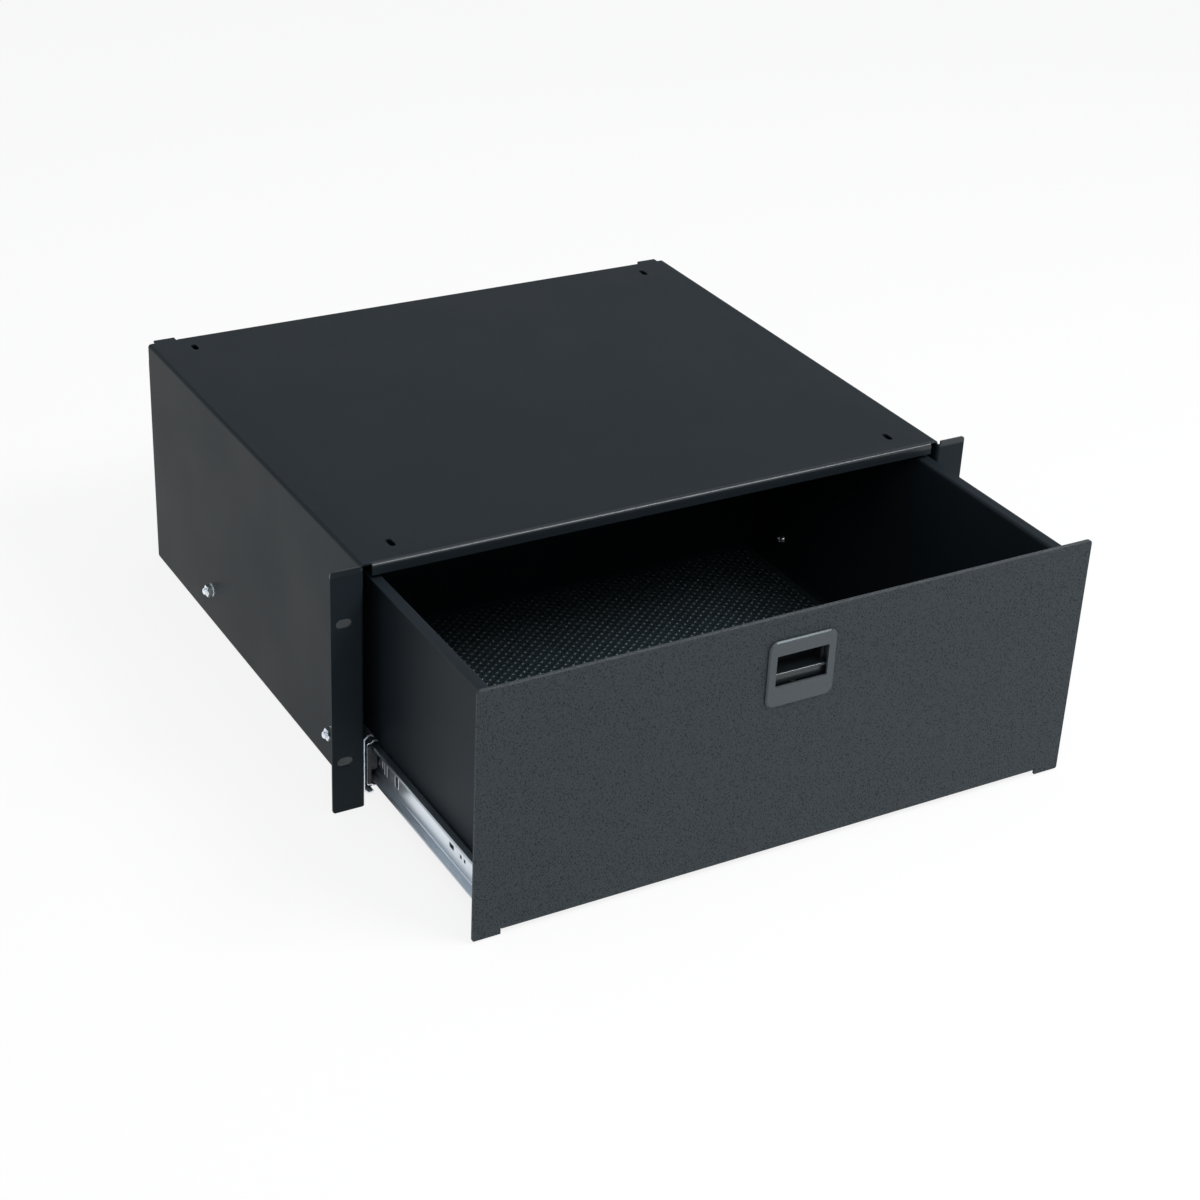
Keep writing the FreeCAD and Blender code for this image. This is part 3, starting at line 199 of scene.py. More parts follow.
class MatSettings(bpy.types.PropertyGroup):
    pitch_x: FloatProperty(
        name="Pitch across", description="Between pads in one row",
        default=0.0090, unit="LENGTH", min=0.001)
    pitch_y: FloatProperty(
        name="Row pitch", description="Between one row of pads and the next, which is set half a step over",
        default=0.00343, unit="LENGTH", min=0.001)
    pad_width: FloatProperty(
        name="Pad width", description="Of a pad, across the mat",
        default=0.0041, unit="LENGTH", min=0.0005)
    pad_length: FloatProperty(
        name="Pad length", description="Of a pad, along the drawer",
        default=0.0042, unit="LENGTH", min=0.0005)
    pad_height: FloatProperty(
        name="Pad height", description="Of a raised pad above the mat",
        default=0.0008, unit="LENGTH", min=0)
    margin: FloatProperty(
        name="Margin", description="Plain edge round the field of pads",
        default=0.0025, unit="LENGTH", min=0)


class FastenerSettings(bpy.types.PropertyGroup):
    screw_length: FloatProperty(
        name="Screw length", description="Of a slide screw with its head",
        default=0.0100, unit="LENGTH", min=0.004)
    shank: FloatProperty(
        name="Shank", description="Outer radius of the thread",
        default=0.0025, unit="LENGTH", min=0.001)
    thread_pitch: FloatProperty(
        name="Thread pitch", description="Along the shank for one turn",
        default=0.0008, unit="LENGTH", min=0.0003)
    thread_depth: FloatProperty(
        name="Thread depth", description="From the crest to the root",
        default=0.0004, unit="LENGTH", min=0)
    nut_height: FloatProperty(
        name="Nut height", description="Along its screw",
        default=0.0040, unit="LENGTH", min=0.001)
    nut_flats: FloatProperty(
        name="Nut flats", description="Across two flats",
        default=0.0080, unit="LENGTH", min=0.003)
    washer_height: FloatProperty(
        name="Washer height", description="Of a toothed washer",
        default=0.0009, unit="LENGTH", min=0.0002)
    tray_screw_length: FloatProperty(
        name="Tray screw length", description="With its head",
        default=0.0055, unit="LENGTH", min=0.002)
    tray_screw_rise: FloatProperty(
        name="Tray screw rise", description="Height of the pan head",
        default=0.0022, unit="LENGTH", min=0.0005)


class RimSettings(bpy.types.PropertyGroup):
    member_sheet: FloatProperty(
        name="Member sheet", description="Thickness of a drawer member",
        default=0.0012, unit="LENGTH", min=0.0005)
    window_corner: FloatProperty(
        name="Window corner", description="Radius of a window's corners",
        default=0.0008, unit="LENGTH", min=0.0001)
    rim_radius: FloatProperty(
        name="Rim radius", description="Of the raised rim round a window",
        default=0.0004, unit="LENGTH", min=0.0001)


class StageSettings(bpy.types.PropertyGroup):
    floor_half: FloatProperty(
        name="Floor half", description="Half the floor's side",
        default=40.0, unit="LENGTH", min=1)
    lens: FloatProperty(
        name="Lens", description="Focal length on the sensor's width",
        default=71.983, unit="CAMERA", min=10)
    strip_power: FloatProperty(
        name="Strip power", description="Of the narrow light above the front right",
        default=42, unit="POWER", min=0)
    key_power: FloatProperty(
        name="Key power", description="Of the square light above the front left",
        default=16, unit="POWER", min=0)
    top_power: FloatProperty(
        name="Top power", description="Of the wide light overhead",
        default=26, unit="POWER", min=0)
    room_colour: FloatVectorProperty(
        name="Room light", description="Plain light of the room on the object",
        default=(0.34, 0.35, 0.36), size=3, subtype="COLOR", min=0, max=1)
    dome_colour: FloatVectorProperty(
        name="Dome", description="What is seen or reflected overhead, above the white horizon",
        default=(0.30, 0.33, 0.36), size=3, subtype="COLOR", min=0, max=1)


# ---- shader nodes ----
class Field:
    """A number in a material: an expression on fields adds its Math nodes."""

    def __init__(self, tree, socket):
        self.tree = tree
        self.socket = socket

    def _with(self, operation, *values):
        return self.tree.node("ShaderNodeMath", {"operation": operation}, dict(enumerate(values)))

    def __add__(self, other):
        return self._with("ADD", self, other)

    def __radd__(self, other):
        return self._with("ADD", other, self)

    def __sub__(self, other):
        return self._with("SUBTRACT", self, other)

    def __rsub__(self, other):
        return self._with("SUBTRACT", other, self)

    def __mul__(self, other):
        return self._with("MULTIPLY", self, other)

    def __rmul__(self, other):
        return self._with("MULTIPLY", other, self)

    def at_least(self, other):
        return self._with("MAXIMUM", self, other)


# A colour mix's sockets, by place, because its other kinds' sockets have the same names.
MIX_FACTOR, MIX_FIRST, MIX_SECOND, MIX_RESULT = 0, 6, 7, 2


class Tree:
    """A material's nodes, with one method that adds any of them."""

    def __init__(self, material):
        self.nodes = material.node_tree.nodes
        self.links = material.node_tree.links

    def node(self, kind, settings=None, inputs=None, out=0):
        """Adds a node: its settings are set first, then the values or links of its inputs."""
        made = self.nodes.new(kind)
        for name, value in (settings or {}).items():
            setattr(made, name, value)
        for name, value in (inputs or {}).items():
            if isinstance(value, Field):
                self.links.new(value.socket, made.inputs[name])
            else:
                made.inputs[name].default_value = value
        return Field(self, made.outputs[out])

    def place(self, size):
        """Object coordinates counted in steps of a size in metres, or of one size for each axis."""
        spot = self.node("ShaderNodeTexCoord", out="Object")
        if isinstance(size, (int, float)):
            size = (size,) * 3
        scale = tuple(1 / s for s in size)
        return self.node("ShaderNodeMapping", inputs={"Vector": spot, "Scale": scale})

    def axis(self, letter):
        """One of the object's own coordinates, in metres."""
        spot = self.node("ShaderNodeTexCoord", out="Object")
        return self.node("ShaderNodeSeparateXYZ", inputs={"Vector": spot}, out=letter)

    def noise(self, size, detail=2.0, rough=0.5):
        inputs = {"Vector": self.place(size), "Scale": 1.0, "Detail": detail, "Roughness": rough}
        return self.node("ShaderNodeTexNoise", inputs=inputs)

    def step(self, value, start, end):
        """Smooth step of a field: 0 up to the start, 1 from the end on."""
        inputs = {"Value": value, "From Min": start, "From Max": end}
        return self.node("ShaderNodeMapRange", {"interpolation_type": "SMOOTHSTEP"}, inputs)

    def share(self, value, start, end, weight):
        """What a field adds: a smooth step from its start to its end, times a weight."""
        return self.step(value, start, end) * weight

    def mix(self, factor, first, second):
        """Colour mix; either colour may be three numbers."""
        first, second = (c if isinstance(c, Field) else (*c, 1) for c in (first, second))
        inputs = {MIX_FACTOR: factor, MIX_FIRST: first, MIX_SECOND: second}
        return self.node("ShaderNodeMix", {"data_type": "RGBA"}, inputs, out=MIX_RESULT)

    def bump(self, height, distance):
        return self.node("ShaderNodeBump", inputs={"Height": height, "Distance": distance})


def finish_of(name, build, **sockets):
    """New material on one Principled shader: constants go on its sockets, build links the rest."""
    material = bpy.data.materials.new(name)
    material.use_nodes = True
    shader = material.node_tree.nodes["Principled BSDF"]
    for key, value in sockets.items():
        shader.inputs[key.replace("_", " ")].default_value = value
    tree = Tree(material)
    for key, value in build(tree).items():
        tree.links.new(value.socket, shader.inputs[key])
    return material


COOL = (0.76, 0.92, 1.0, 1.0)  # the blue-grey cast of a black coat's gloss
LIP_BEND = (0.005, 0.003)  # below the case's top: the gloss of the lip's bend fades in between these
LIP_FRONT = (0.0022, 0.0006)  # along Y: it fades in between these too, toward the front
PANEL_RIM = (0.0012, 0.0006)  # below the front panel's top: its edge's gloss fades in between these
RECESS_FADE = 0.002  # behind the bezel's face: the painted shade in the latch's recess fades in over this depth


def scaled(colour, factor):
    return tuple(c * factor for c in colour)


def case_coat(coat):
    """Fine grain and broad clouds in a black coat, glossier along the front lip's bend."""
    def build(tree):
        grain = tree.noise(coat.case_grain, detail=2.0, rough=0.6)
        cloud = tree.noise(size=0.09, detail=3.0)
        pale = tree.share(grain, 0.42, 0.66, weight=0.55) + tree.share(cloud, 0.35, 0.7, weight=0.25)
        colour = tree.mix(pale, tuple(coat.case_colour), scaled(coat.case_colour, 1.35))
        rough = 0.44 + tree.share(cloud, 0.3, 0.7, weight=0.05) + tree.share(grain, 0.35, 0.7, weight=0.08)
        bend = tree.step(tree.axis("Z"), CASE_TOP - LIP_BEND[0], CASE_TOP - LIP_BEND[1])
        lip = bend * tree.step(tree.axis("Y"), *LIP_FRONT)
        return {"Base Color": colour, "Roughness": rough, "Coat Weight": lip * coat.bend_gloss,
                "Normal": tree.bump(grain, distance=0.00005)}
    return finish_of("fine_powder_coat", build,
                     Specular_IOR_Level=0.12, Specular_Tint=COOL, Coat_Roughness=0.30)


def front_coat(coat):
    """Coarse lumps with dark pits and specks between them, glossier along the panel's top edge."""
    pit_size, speck_size, fine_size = coat.grain * 1.25, coat.grain * 0.55, coat.case_grain * 0.8

    def build(tree):
        lumps = tree.noise(coat.grain, detail=2.0, rough=0.55)
        pits = tree.noise(pit_size, detail=3.0, rough=0.65)
        fine = tree.noise(fine_size, detail=1.0)
        specks = tree.noise(speck_size, detail=1.0)
        pit = tree.share(pits, 0.52, 0.60, weight=0.75) + tree.share(specks, 0.60, 0.68, weight=0.45)
        pale = tree.step(lumps, 0.35, 0.7)
        skin = tree.mix(pale, tuple(coat.front_colour), scaled(coat.front_colour, 1.45))
        colour = tree.mix(pit, skin, tuple(coat.fleck_colour))
        height = lumps * 0.7 + fine * 0.3 - pit * 0.5
        rough = 0.50 + pit * 0.25
        rim = tree.step(tree.axis("Z"), PANEL_TOP - PANEL_RIM[0], PANEL_TOP - PANEL_RIM[1])
        return {"Base Color": colour, "Roughness": rough, "Coat Weight": rim * coat.bend_gloss,
                "Normal": tree.bump(height, distance=0.00010)}
    return finish_of("textured_powder_coat", build,
                     Specular_IOR_Level=0.34, Specular_Tint=COOL, Coat_Roughness=0.24)


def zinc(name, metal, rough, tone=1.0):
    """Zinc plate with dull clouds and fine scuffs, both drawn out along Y."""
    def build(tree):
        cloud = tree.noise(size=(0.006, 0.040, 0.006))
        scuff = tree.noise(size=(0.0005, 0.025, 0.0005), rough=0.6)
        bright = scaled(metal.zinc_colour, tone)
        dull = scaled(metal.zinc_colour, tone * 0.80)
        worn = tree.share(cloud, 0.35, 0.68, weight=0.5) + tree.share(scuff, 0.5, 0.75, weight=0.3)
        grey = rough + tree.share(cloud, 0.3, 0.7, weight=0.07) + tree.share(scuff, 0.45, 0.75, weight=0.06)
        return {"Base Color": tree.mix(worn, bright, dull), "Roughness": grey,
                "Normal": tree.bump(scuff, distance=0.00002)}
    return finish_of(name, build, Metallic=1.0)


def plastic(name, colour, rough, grain=0.0006, relief=0.00004, specular=0.5):
    """Moulded plastic, rubber or black oxide: a fine grain and faint clouds."""
    def build(tree):
        grains = tree.noise(grain, rough=0.6)
        cloud = tree.noise(size=0.02)
        pale = tree.share(grains, 0.4, 0.65, weight=0.5) + tree.share(cloud, 0.4, 0.6, weight=0.3)
        skin = tree.mix(pale, tuple(colour), scaled(colour, 1.5))
        gloss = rough + tree.share(cloud, 0.35, 0.65, weight=0.06)
        return {"Base Color": skin, "Roughness": gloss, "Normal": tree.bump(grains, relief)}
    return finish_of(name, build, Specular_IOR_Level=specular)


def latch_moulding(moulding):
    """Semi-gloss on the bezel's face; in the recess behind it, painted shade darkens the colour and the coat
    is glossier.
    """
    def build(tree):
        grains = tree.noise(size=0.0005, rough=0.6)
        depth = tree.step(tree.axis("Y"), BEZEL_FACE, BEZEL_FACE + RECESS_FADE)
        pale = tree.share(grains, 0.4, 0.65, weight=0.5)
        skin = tree.mix(pale, tuple(moulding.latch_colour), scaled(moulding.latch_colour, 1.4))
        # Painted shade: deeper in the recess the colour darkens toward the recess shade colour
        shade = tree.mix(depth * 0.9, skin, tuple(moulding.recess_shade_colour))
        return {"Base Color": shade, "Roughness": 0.28 + depth * 0.10, "Coat Weight": depth * 0.8,
                "Normal": tree.bump(grains, distance=0.00002)}
    return finish_of("latch_plastic", build,
                     Specular_IOR_Level=0.34, Specular_Tint=COOL, Coat_Roughness=0.16)


FINISH = {}


def make_finishes(scene):
    """Fills FINISH: one finish for each of the record's material slots."""
    coat, metal, moulding = scene.rack_coat, scene.rack_metal, scene.rack_moulding
    FINISH.update({
        "front_powder_coat": front_coat(coat),
        "case_powder_coat": case_coat(coat),
        "black_rivet": plastic(
            "black_oxide", moulding.rivet_colour, rough=0.38, grain=0.0004, relief=0.00003),
        "slide_zinc": zinc("bright_zinc", metal, rough=0.28),
        "cage_zinc": zinc("cage_zinc", metal, rough=0.34, tone=0.85),
        "ball_steel": zinc("ball_steel", metal, rough=0.12, tone=1.05),
        "stop_plastic": plastic("stop_plastic", moulding.stop_colour, rough=0.42),
        "fastener_zinc": zinc("fastener_zinc", metal, rough=0.26, tone=1.15),
        "buffer_rubber": plastic(
            "buffer_rubber", moulding.buffer_colour, rough=0.70, grain=0.0008, relief=0.00006, specular=0.35),
        "mat_rubber": plastic(
            "mat_rubber", moulding.mat_colour, rough=0.32, grain=0.0005, relief=0.00002, specular=0.6),
        "latch_plastic": latch_moulding(moulding),
        "spring_steel": zinc("spring_steel", metal, rough=0.28, tone=0.7),
    })


# ---- pieces from CAD nodes ----
def new_piece(name, mesh, body, slot, smooth_angle=SHARP):
    """Links a mesh as a piece of the object: its finish, its body and its shading."""
    piece = bpy.data.objects.new(name, mesh)
    bpy.context.scene.collection.objects.link(piece)
    mesh.materials.clear()
    mesh.materials.append(FINISH[slot])
    mesh.shade_smooth()
    mesh.set_sharp_from_angle(angle=math.radians(smooth_angle))
    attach(piece, body)
    return piece


def merged(node):
    """A copy of a CAD node's mesh with its doubled points merged and its flat faces made whole."""
    mesh = frame["nodes"][node].data.copy()
    mesh.name = node + "_skin"
    work = bmesh.new()
    work.from_mesh(mesh)
    bmesh.ops.remove_doubles(work, verts=work.verts, dist=WELD)
    bmesh.ops.dissolve_limit(work, angle_limit=math.radians(FLAT), verts=work.verts, edges=work.edges)
    work.to_mesh(mesh)
    work.free()
    if "custom_normal" in mesh.attributes:
        mesh.attributes.remove(mesh.attributes["custom_normal"])
    return mesh


def skin_of(node, smooth_angle=SHARP):
    """A piece on a CAD node's own surface, which stands for the node."""
    piece = new_piece(node + "_skin", merged(node), BODY_OF[node], SLOT_OF[node], smooth_angle)
    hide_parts(node)
    return piece


def eased(width, *nodes):
    """CAD nodes' surfaces with their sharp edges rounded."""
    for node in nodes:
        bevel = skin_of(node).modifiers.new("rounded_edges", "BEVEL")
        bevel.width = width
        bevel.segments = 2
        bevel.limit_method = "ANGLE"
        bevel.angle_limit = math.radians(SHARP)
        bevel.use_clamp_overlap = True
        bevel.harden_normals = True


def rounded_off(node):
    """A faceted ball or wire from the CAD, subdivided once until it is round."""
    piece = skin_of(node, ALL_SMOOTH)
    rounding = piece.modifiers.new("rounded", "SUBSURF")
    rounding.levels = rounding.render_levels = 1
    return piece


# ---- worked-out surfaces ----
def mesh_of(name, points, faces):
    mesh = bpy.data.meshes.new(name)
    mesh.from_pydata(points.tolist(), [], faces.tolist())
    mesh.validate()
    return mesh


def closed_mesh(name, points, faces):
    """Mesh with the points of each pole merged and the faces turned outward."""
    mesh = mesh_of(name, points, faces)
    work = bmesh.new()
    work.from_mesh(mesh)
    bmesh.ops.remove_doubles(work, verts=work.verts, dist=POLE_WELD)
    bmesh.ops.dissolve_degenerate(work, edges=work.edges, dist=POLE_WELD)
    bmesh.ops.recalc_face_normals(work, faces=work.faces)
    work.to_mesh(mesh)
    work.free()
    return mesh


def turn_of(count, first=0.0):
    """Angles of a whole turn in even steps: 2 pi (k + first) / count."""
    return 2 * np.pi * (np.arange(count) + first) / count


def grid_faces(rows, columns, loop=False):
    """Quads (i, j), (i + 1, j), (i + 1, j + 1), (i, j + 1) of a grid whose last column meets its first.

    In a loop the last row meets the first one too.
    """
    i, j = np.meshgrid(np.arange(rows if loop else rows - 1), np.arange(columns), indexing="ij")
    below, right = (i + 1) % rows, (j + 1) % columns
    corners = (i * columns + j, below * columns + j, below * columns + right, i * columns + right)
    return np.stack(corners, -1).reshape(-1, 4)


def repeated(points, faces, places):
    """One small shape's points and faces, copied to every place as whole arrays."""
    count, size = len(places), len(points)
    all_points = (places[:, None, :] + points[None, :, :]).reshape(-1, 3)
    steps = (np.arange(count) * size)[:, None, None]
    return all_points, (faces[None, :, :] + steps).reshape(-1, faces.shape[1])


def turned(profile, sides, shape=None, loop=False):
    """Surface round the X axis from a profile of (along, radius) rows.

    Point (i, j) stands at angle a = 2 pi j / sides: x = along, y = r sin a, z = r cos a, where r is
    the row's radius, or shape(along, radius, angle).  A loop's last row joins its first; any other
    profile starts and ends on the axis.
    """
    profile = np.asarray(profile, float)
    along, radius = profile[:, :1], profile[:, 1:]
    angle = turn_of(sides)[None, :]
    r = np.broadcast_to(radius, (len(profile), sides)) if shape is None else shape(along, radius, angle)
    points = np.stack([np.broadcast_to(along, r.shape), r * np.sin(angle), r * np.cos(angle)], -1)
    return points.reshape(-1, 3), grid_faces(len(profile), sides, loop)


def mirrored(points, faces):
    """A shape made for the left side, with its twin on the right: x changes sign, faces turn over."""
    return np.vstack([points, points * (-1, 1, 1)]), np.vstack([faces, faces[:, ::-1] + len(points)])


def on_both_sides(node, points, faces, places, smooth_angle=30):
    """Puts one shape, made for the left side along +X, at its places there and mirrored on the right."""
    name = node + "_fine"
    mesh = closed_mesh(name, *mirrored(*repeated(points, faces, np.asarray(places))))
    piece = new_piece(name, mesh, BODY_OF[node], SLOT_OF[node], smooth_angle)
    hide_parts(node)


# ---- screws, nuts and washers ----
def rows_of_screws(node, rows):
    """Where the axis of each left screw stands: (0, row, middle height of the node's box)."""
    low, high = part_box(node)
    return [(0, y, (low.z + high.z) / 2) for y in rows]


def radius_of(node):
    """Half the height of a row of round parts."""
    low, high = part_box(node)
    return (high.z - low.z) / 2


def slide_screws(settings):
    """Round-headed screws with a real thread, their heads inside the case.

    Thread: r = shank less depth times the triangle wave of (along / pitch + angle / turn).
    """
    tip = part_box("slide_screws")[0].x
    inner = tip + settings.screw_length
    head = radius_of("slide_screws")
    tip_taper, tip_radius = 0.0005, 0.78  # length of the chamfer, and its share of the shank
    under, rim, crown = inner - 0.0021, inner - 0.0009, inner - 0.0002
    rim_share, crown_share = 0.8, 0.45
    thread_end, shank_end = inner - 0.0024, inner - 0.0022
    rows_in_turn = 8

    def thread(along, radius, angle):
        wave = np.abs(2 * ((along / settings.thread_pitch + angle / (2 * np.pi)) % 1) - 1)
        cut = np.where(along < thread_end, settings.thread_depth * wave, 0)
        return np.maximum(radius - cut * (radius > ON_AXIS), 0)

    shank = np.arange(tip + tip_taper, shank_end, settings.thread_pitch / rows_in_turn)
    rows = [(tip, 0), (tip, settings.shank * tip_radius)] + [(x, settings.shank) for x in shank]
    rows += [(under, settings.shank), (under, head), (rim, head), (crown, head * rim_share),
             (inner, head * crown_share), (inner, 0)]
    places = rows_of_screws("slide_screws", SCREW_ROWS)
    on_both_sides("slide_screws", *turned(rows, sides=24, shape=thread), places)


def slide_nuts(settings):
    """Hexagon nuts, chamfered at both ends.

    Hexagon: r = half the flats over cos of the angle from the nearest flat, cut by a 30 degree cone
    that leaves each end a little wider than the flats.
    """
    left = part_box("slide_nuts")[0].x
    right = left + settings.nut_height
    flat, bore = settings.nut_flats / 2, settings.shank
    face, cone_start = flat * 0.98, flat * 1.02
    chamfer = 0.0004  # of the bore
    anywhere = 1.0  # a radius past any corner, which the hexagon cuts
    steps = (0, 0.00025, 0.0005, 0.0009)  # rows that follow the cone from each end

    def hexagon(along, radius, angle):
        corner = flat / np.cos((angle + np.pi / 6) % (np.pi / 3) - np.pi / 6)
        cone = cone_start + np.minimum(along - left, right - along) * math.tan(math.radians(60))
        outer = np.minimum(np.minimum(corner, cone), radius)
        return np.where(radius < face, radius, outer)

    outside = [(left + s, anywhere) for s in steps] + [(right - s, anywhere) for s in reversed(steps)]
    rows = [(left, bore + chamfer), (left, face), *outside,
            (right, face), (right, bore), (left + chamfer, bore)]
    places = rows_of_screws("slide_screws", SCREW_ROWS)
    on_both_sides("slide_nuts", *turned(rows, sides=48, shape=hexagon, loop=True), places, smooth_angle=20)


def toothed_washers(settings):
    """Lock washers under the nuts: the outer radius dips between teeth as the square of a cosine."""
    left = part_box("toothed_washers")[0].x
    right = left + settings.washer_height
    reach = radius_of("toothed_washers")
    bore, ring, rooted = settings.shank, reach * 0.75, reach * 0.8
    tooth_depth, half_teeth = 0.0009, 8

    def teeth(along, radius, angle):
        dip = tooth_depth * np.cos(angle * half_teeth) ** 2
        return np.where(radius > rooted, radius - dip, radius)

    rows = [(left, bore), (left, ring), (left, reach), (right, reach), (right, ring), (right, bore)]
    places = rows_of_screws("slide_screws", SCREW_ROWS)
    on_both_sides("toothed_washers", *turned(rows, sides=64, shape=teeth, loop=True), places, smooth_angle=25)


def tray_screws(settings):
    """Pan heads with a cross recess, and their shanks through the tray's side.

    Head: x = rise times (1 - (r / head) ** 4), less the recess where either arm's smooth band covers.
    """
    sides = 64
    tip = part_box("tray_screws")[0].x
    head, rise = radius_of("tray_screws"), settings.tray_screw_rise
    base = tip + settings.tray_screw_length - rise
    shank, arm_half, arm_fade = 0.0018, 0.0006, 1.6  # a recess arm fades out from 0.6 to 1.6 half widths
    arm_reach, end_fade, recess_depth = 0.0024, 0.0005, 0.6
    recess_share = 0.66  # of the head's radius, where its rings lie closer
    share = np.concatenate([np.linspace(0, recess_share, 17)[:-1], np.linspace(recess_share, 1, 7)])
    angle = turn_of(sides)
    r = share[::-1, None] * head
    y, z = r * np.sin(angle), r * np.cos(angle)
    arm = np.minimum(np.abs(y), np.abs(z)) / arm_half
    inside = np.clip(arm_fade - arm, 0, 1) * np.clip((arm_reach - np.hypot(y, z)) / end_fade, 0, 1)
    x = base + rise * (1 - (r / head) ** 4) - inside * rise * recess_depth
    crown = np.stack([x, y, z], -1).reshape(-1, 3)
    points, faces = turned([(tip, 0), (tip, shank), (base, shank), (base, head)], sides)
    faces = np.vstack([faces, grid_faces(len(share), sides) + len(points)])
    places = rows_of_screws("tray_screws", TRAY_SCREW_ROWS)
    on_both_sides("tray_screws", np.vstack([points, crown]), faces, places, smooth_angle=40)


# ---- window rims and mat pads ----
def window_rims(settings):
    """Raised burnished rims round the drawer members' pierced windows.

    Path: y = centre + (w / 2 - p) sign(cos t) + p cos t, z alike with the height and sin t, where p
    is the corner's radius.  Tube: path + r (cos a times the path's normal + sin a along X, flattened).
    """
    steps, sides = 48, 8
    low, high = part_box("left_drawer_member")
    face = high.x - settings.member_sheet
    corner, radius = settings.window_corner, settings.rim_radius
    rise = radius * 0.4
    turn, around = turn_of(steps, first=0.5), turn_of(sides)
    windows = np.array(WINDOWS)
    windows[:, 0] += np.where(windows[:, 0] > 0, low.y, high.y)
    normal = np.stack([np.cos(turn), np.sin(turn)], -1)
    core = windows[:, None, 1:] / 2 - corner
    path = core * np.sign(normal) + corner * normal
    path[..., 0] += windows[:, :1]
    path[..., 1] += (low.z + high.z) / 2
    ring = path[:, :, None, :] + radius * np.cos(around)[:, None] * normal[:, None, :]
    x = np.broadcast_to(face - rise * np.sin(around), ring.shape[:-1])
    points = np.concatenate([x[..., None], ring], -1).reshape(-1, 3)
    starts = np.arange(len(windows))[:, None, None] * steps * sides
    faces = (grid_faces(steps, sides, loop=True) + starts).reshape(-1, 4)
    mesh = closed_mesh("window_rims", *mirrored(points, faces))
    new_piece("window_rims", mesh, BODY_OF["left_drawer_member"], "slide_zinc", smooth_angle=80)


def mat_pads(settings):
    """Field of raised oval pads in staggered rows.

    A pad is an eight-cornered dome: each ring is the oval times its share, at its share of the
    pad's height, the last ring closes on the middle point, and a flat fan closes the base.
    Pad (i, j) stands at x = (i + half of j's odd part) times the pitch, y = j times the row pitch.
    """
    sides = 8
    foot, shoulder = (1.0, -0.1), (0.78, 0.88)  # a ring's share of the oval, and of the height
    half_x, half_y = settings.pad_width / 2, settings.pad_length / 2
    turn = turn_of(sides, first=0.5)
    oval = np.stack([np.cos(turn), np.sin(turn)], 1) * (half_x, half_y)
    rings = [np.column_stack([oval * wide, np.full(sides, high * settings.pad_height)])
             for wide, high in (foot, shoulder)]
    top = [0, 0, settings.pad_height]
    k = np.arange(sides)
    n = (k + 1) % sides
    first = np.column_stack([k, n, n + sides])
    second = np.column_stack([k, n + sides, k + sides])
    crown = np.column_stack([k + sides, n + sides, np.full(sides, 2 * sides)])
    base = np.column_stack([np.zeros(sides - 2, int), k[2:], k[1:-1]])
    edge = settings.margin + half_x
    xs = np.arange(MAT_LOW.x + edge, MAT_HIGH.x - edge, settings.pitch_x)
    ys = np.arange(MAT_LOW.y + edge, MAT_HIGH.y - edge, settings.pitch_y)
    i, j = np.meshgrid(np.arange(len(xs)), np.arange(len(ys)), indexing="ij")
    x = xs[i] + (j % 2) * settings.pitch_x / 2
    places = np.column_stack([x.ravel(), ys[j].ravel(), np.full(x.size, MAT_HIGH.z)])
    points, faces = repeated(np.vstack([*rings, top]), np.vstack([first, second, crown, base]), places)
    new_piece("mat_pads", mesh_of("mat_pads", points, faces), "drawer", "mat_rubber", smooth_angle=60)


# ---- stage ----
PAPER = (0.92, 0.92, 0.92, 1)
SEEN_WHITE = 0.85  # share of plain white in the paper where it is seen
FLOOR_GAP = 0.0002  # between the floor and the object's lowest point
HORIZON = (0.12, 0.42)  # share of the way up, between which the white horizon fades into the dome
SENSOR = 36  # millimetres
CAMERA_PLACE = (-0.75496, -1.19301, 0.79076)
CAMERA_RIGHT = Vector((0.87134378, -0.48878961, 0.04295039))
CAMERA_DOWN = Vector((-0.2041548, -0.44074639, -0.87410722))
CAMERA_AHEAD = Vector((0.44618476, 0.75287936, -0.48383037))


def seen(tree):
    """1 for camera, glossy and transmission rays, and 0 for the light that reaches the object."""
    kinds = ("Is Camera Ray", "Is Glossy Ray", "Is Transmission Ray")
    camera, glossy, through = (tree.node("ShaderNodeLightPath", out=kind) for kind in kinds)
    return camera.at_least(glossy).at_least(through)


def paper_finish():
    """White paper; where it is seen, most of it stays white, so the shadow lies soft."""
    paper = bpy.data.materials.new("paper")
    paper.use_nodes = True
    tree = Tree(paper)
    shader = paper.node_tree.nodes["Principled BSDF"]
    shader.inputs["Roughness"].default_value = 0.9
    shader.inputs["Specular IOR Level"].default_value = 0.1
    shader.inputs["Base Color"].default_value = PAPER
    white = tree.node("ShaderNodeEmission", inputs={"Color": (1, 1, 1, 1), "Strength": 1.0})
    both = tree.node("ShaderNodeMixShader", inputs={
        0: seen(tree) * SEEN_WHITE, 1: Field(tree, shader.outputs[0]), 2: white})
    tree.links.new(both.socket, paper.node_tree.nodes["Material Output"].inputs["Surface"])
    return paper


def lay_floor(half):
    low = CAD_BOX[0].z - FLOOR_GAP
    corners = np.array([[-half, -half, low], [half, -half, low], [half, half, low], [-half, half, low]])
    floor = bpy.data.objects.new("floor", mesh_of("floor", corners, np.array([[0, 1, 2, 3]])))
    bpy.context.scene.collection.objects.link(floor)
    floor.data.materials.append(paper_finish())


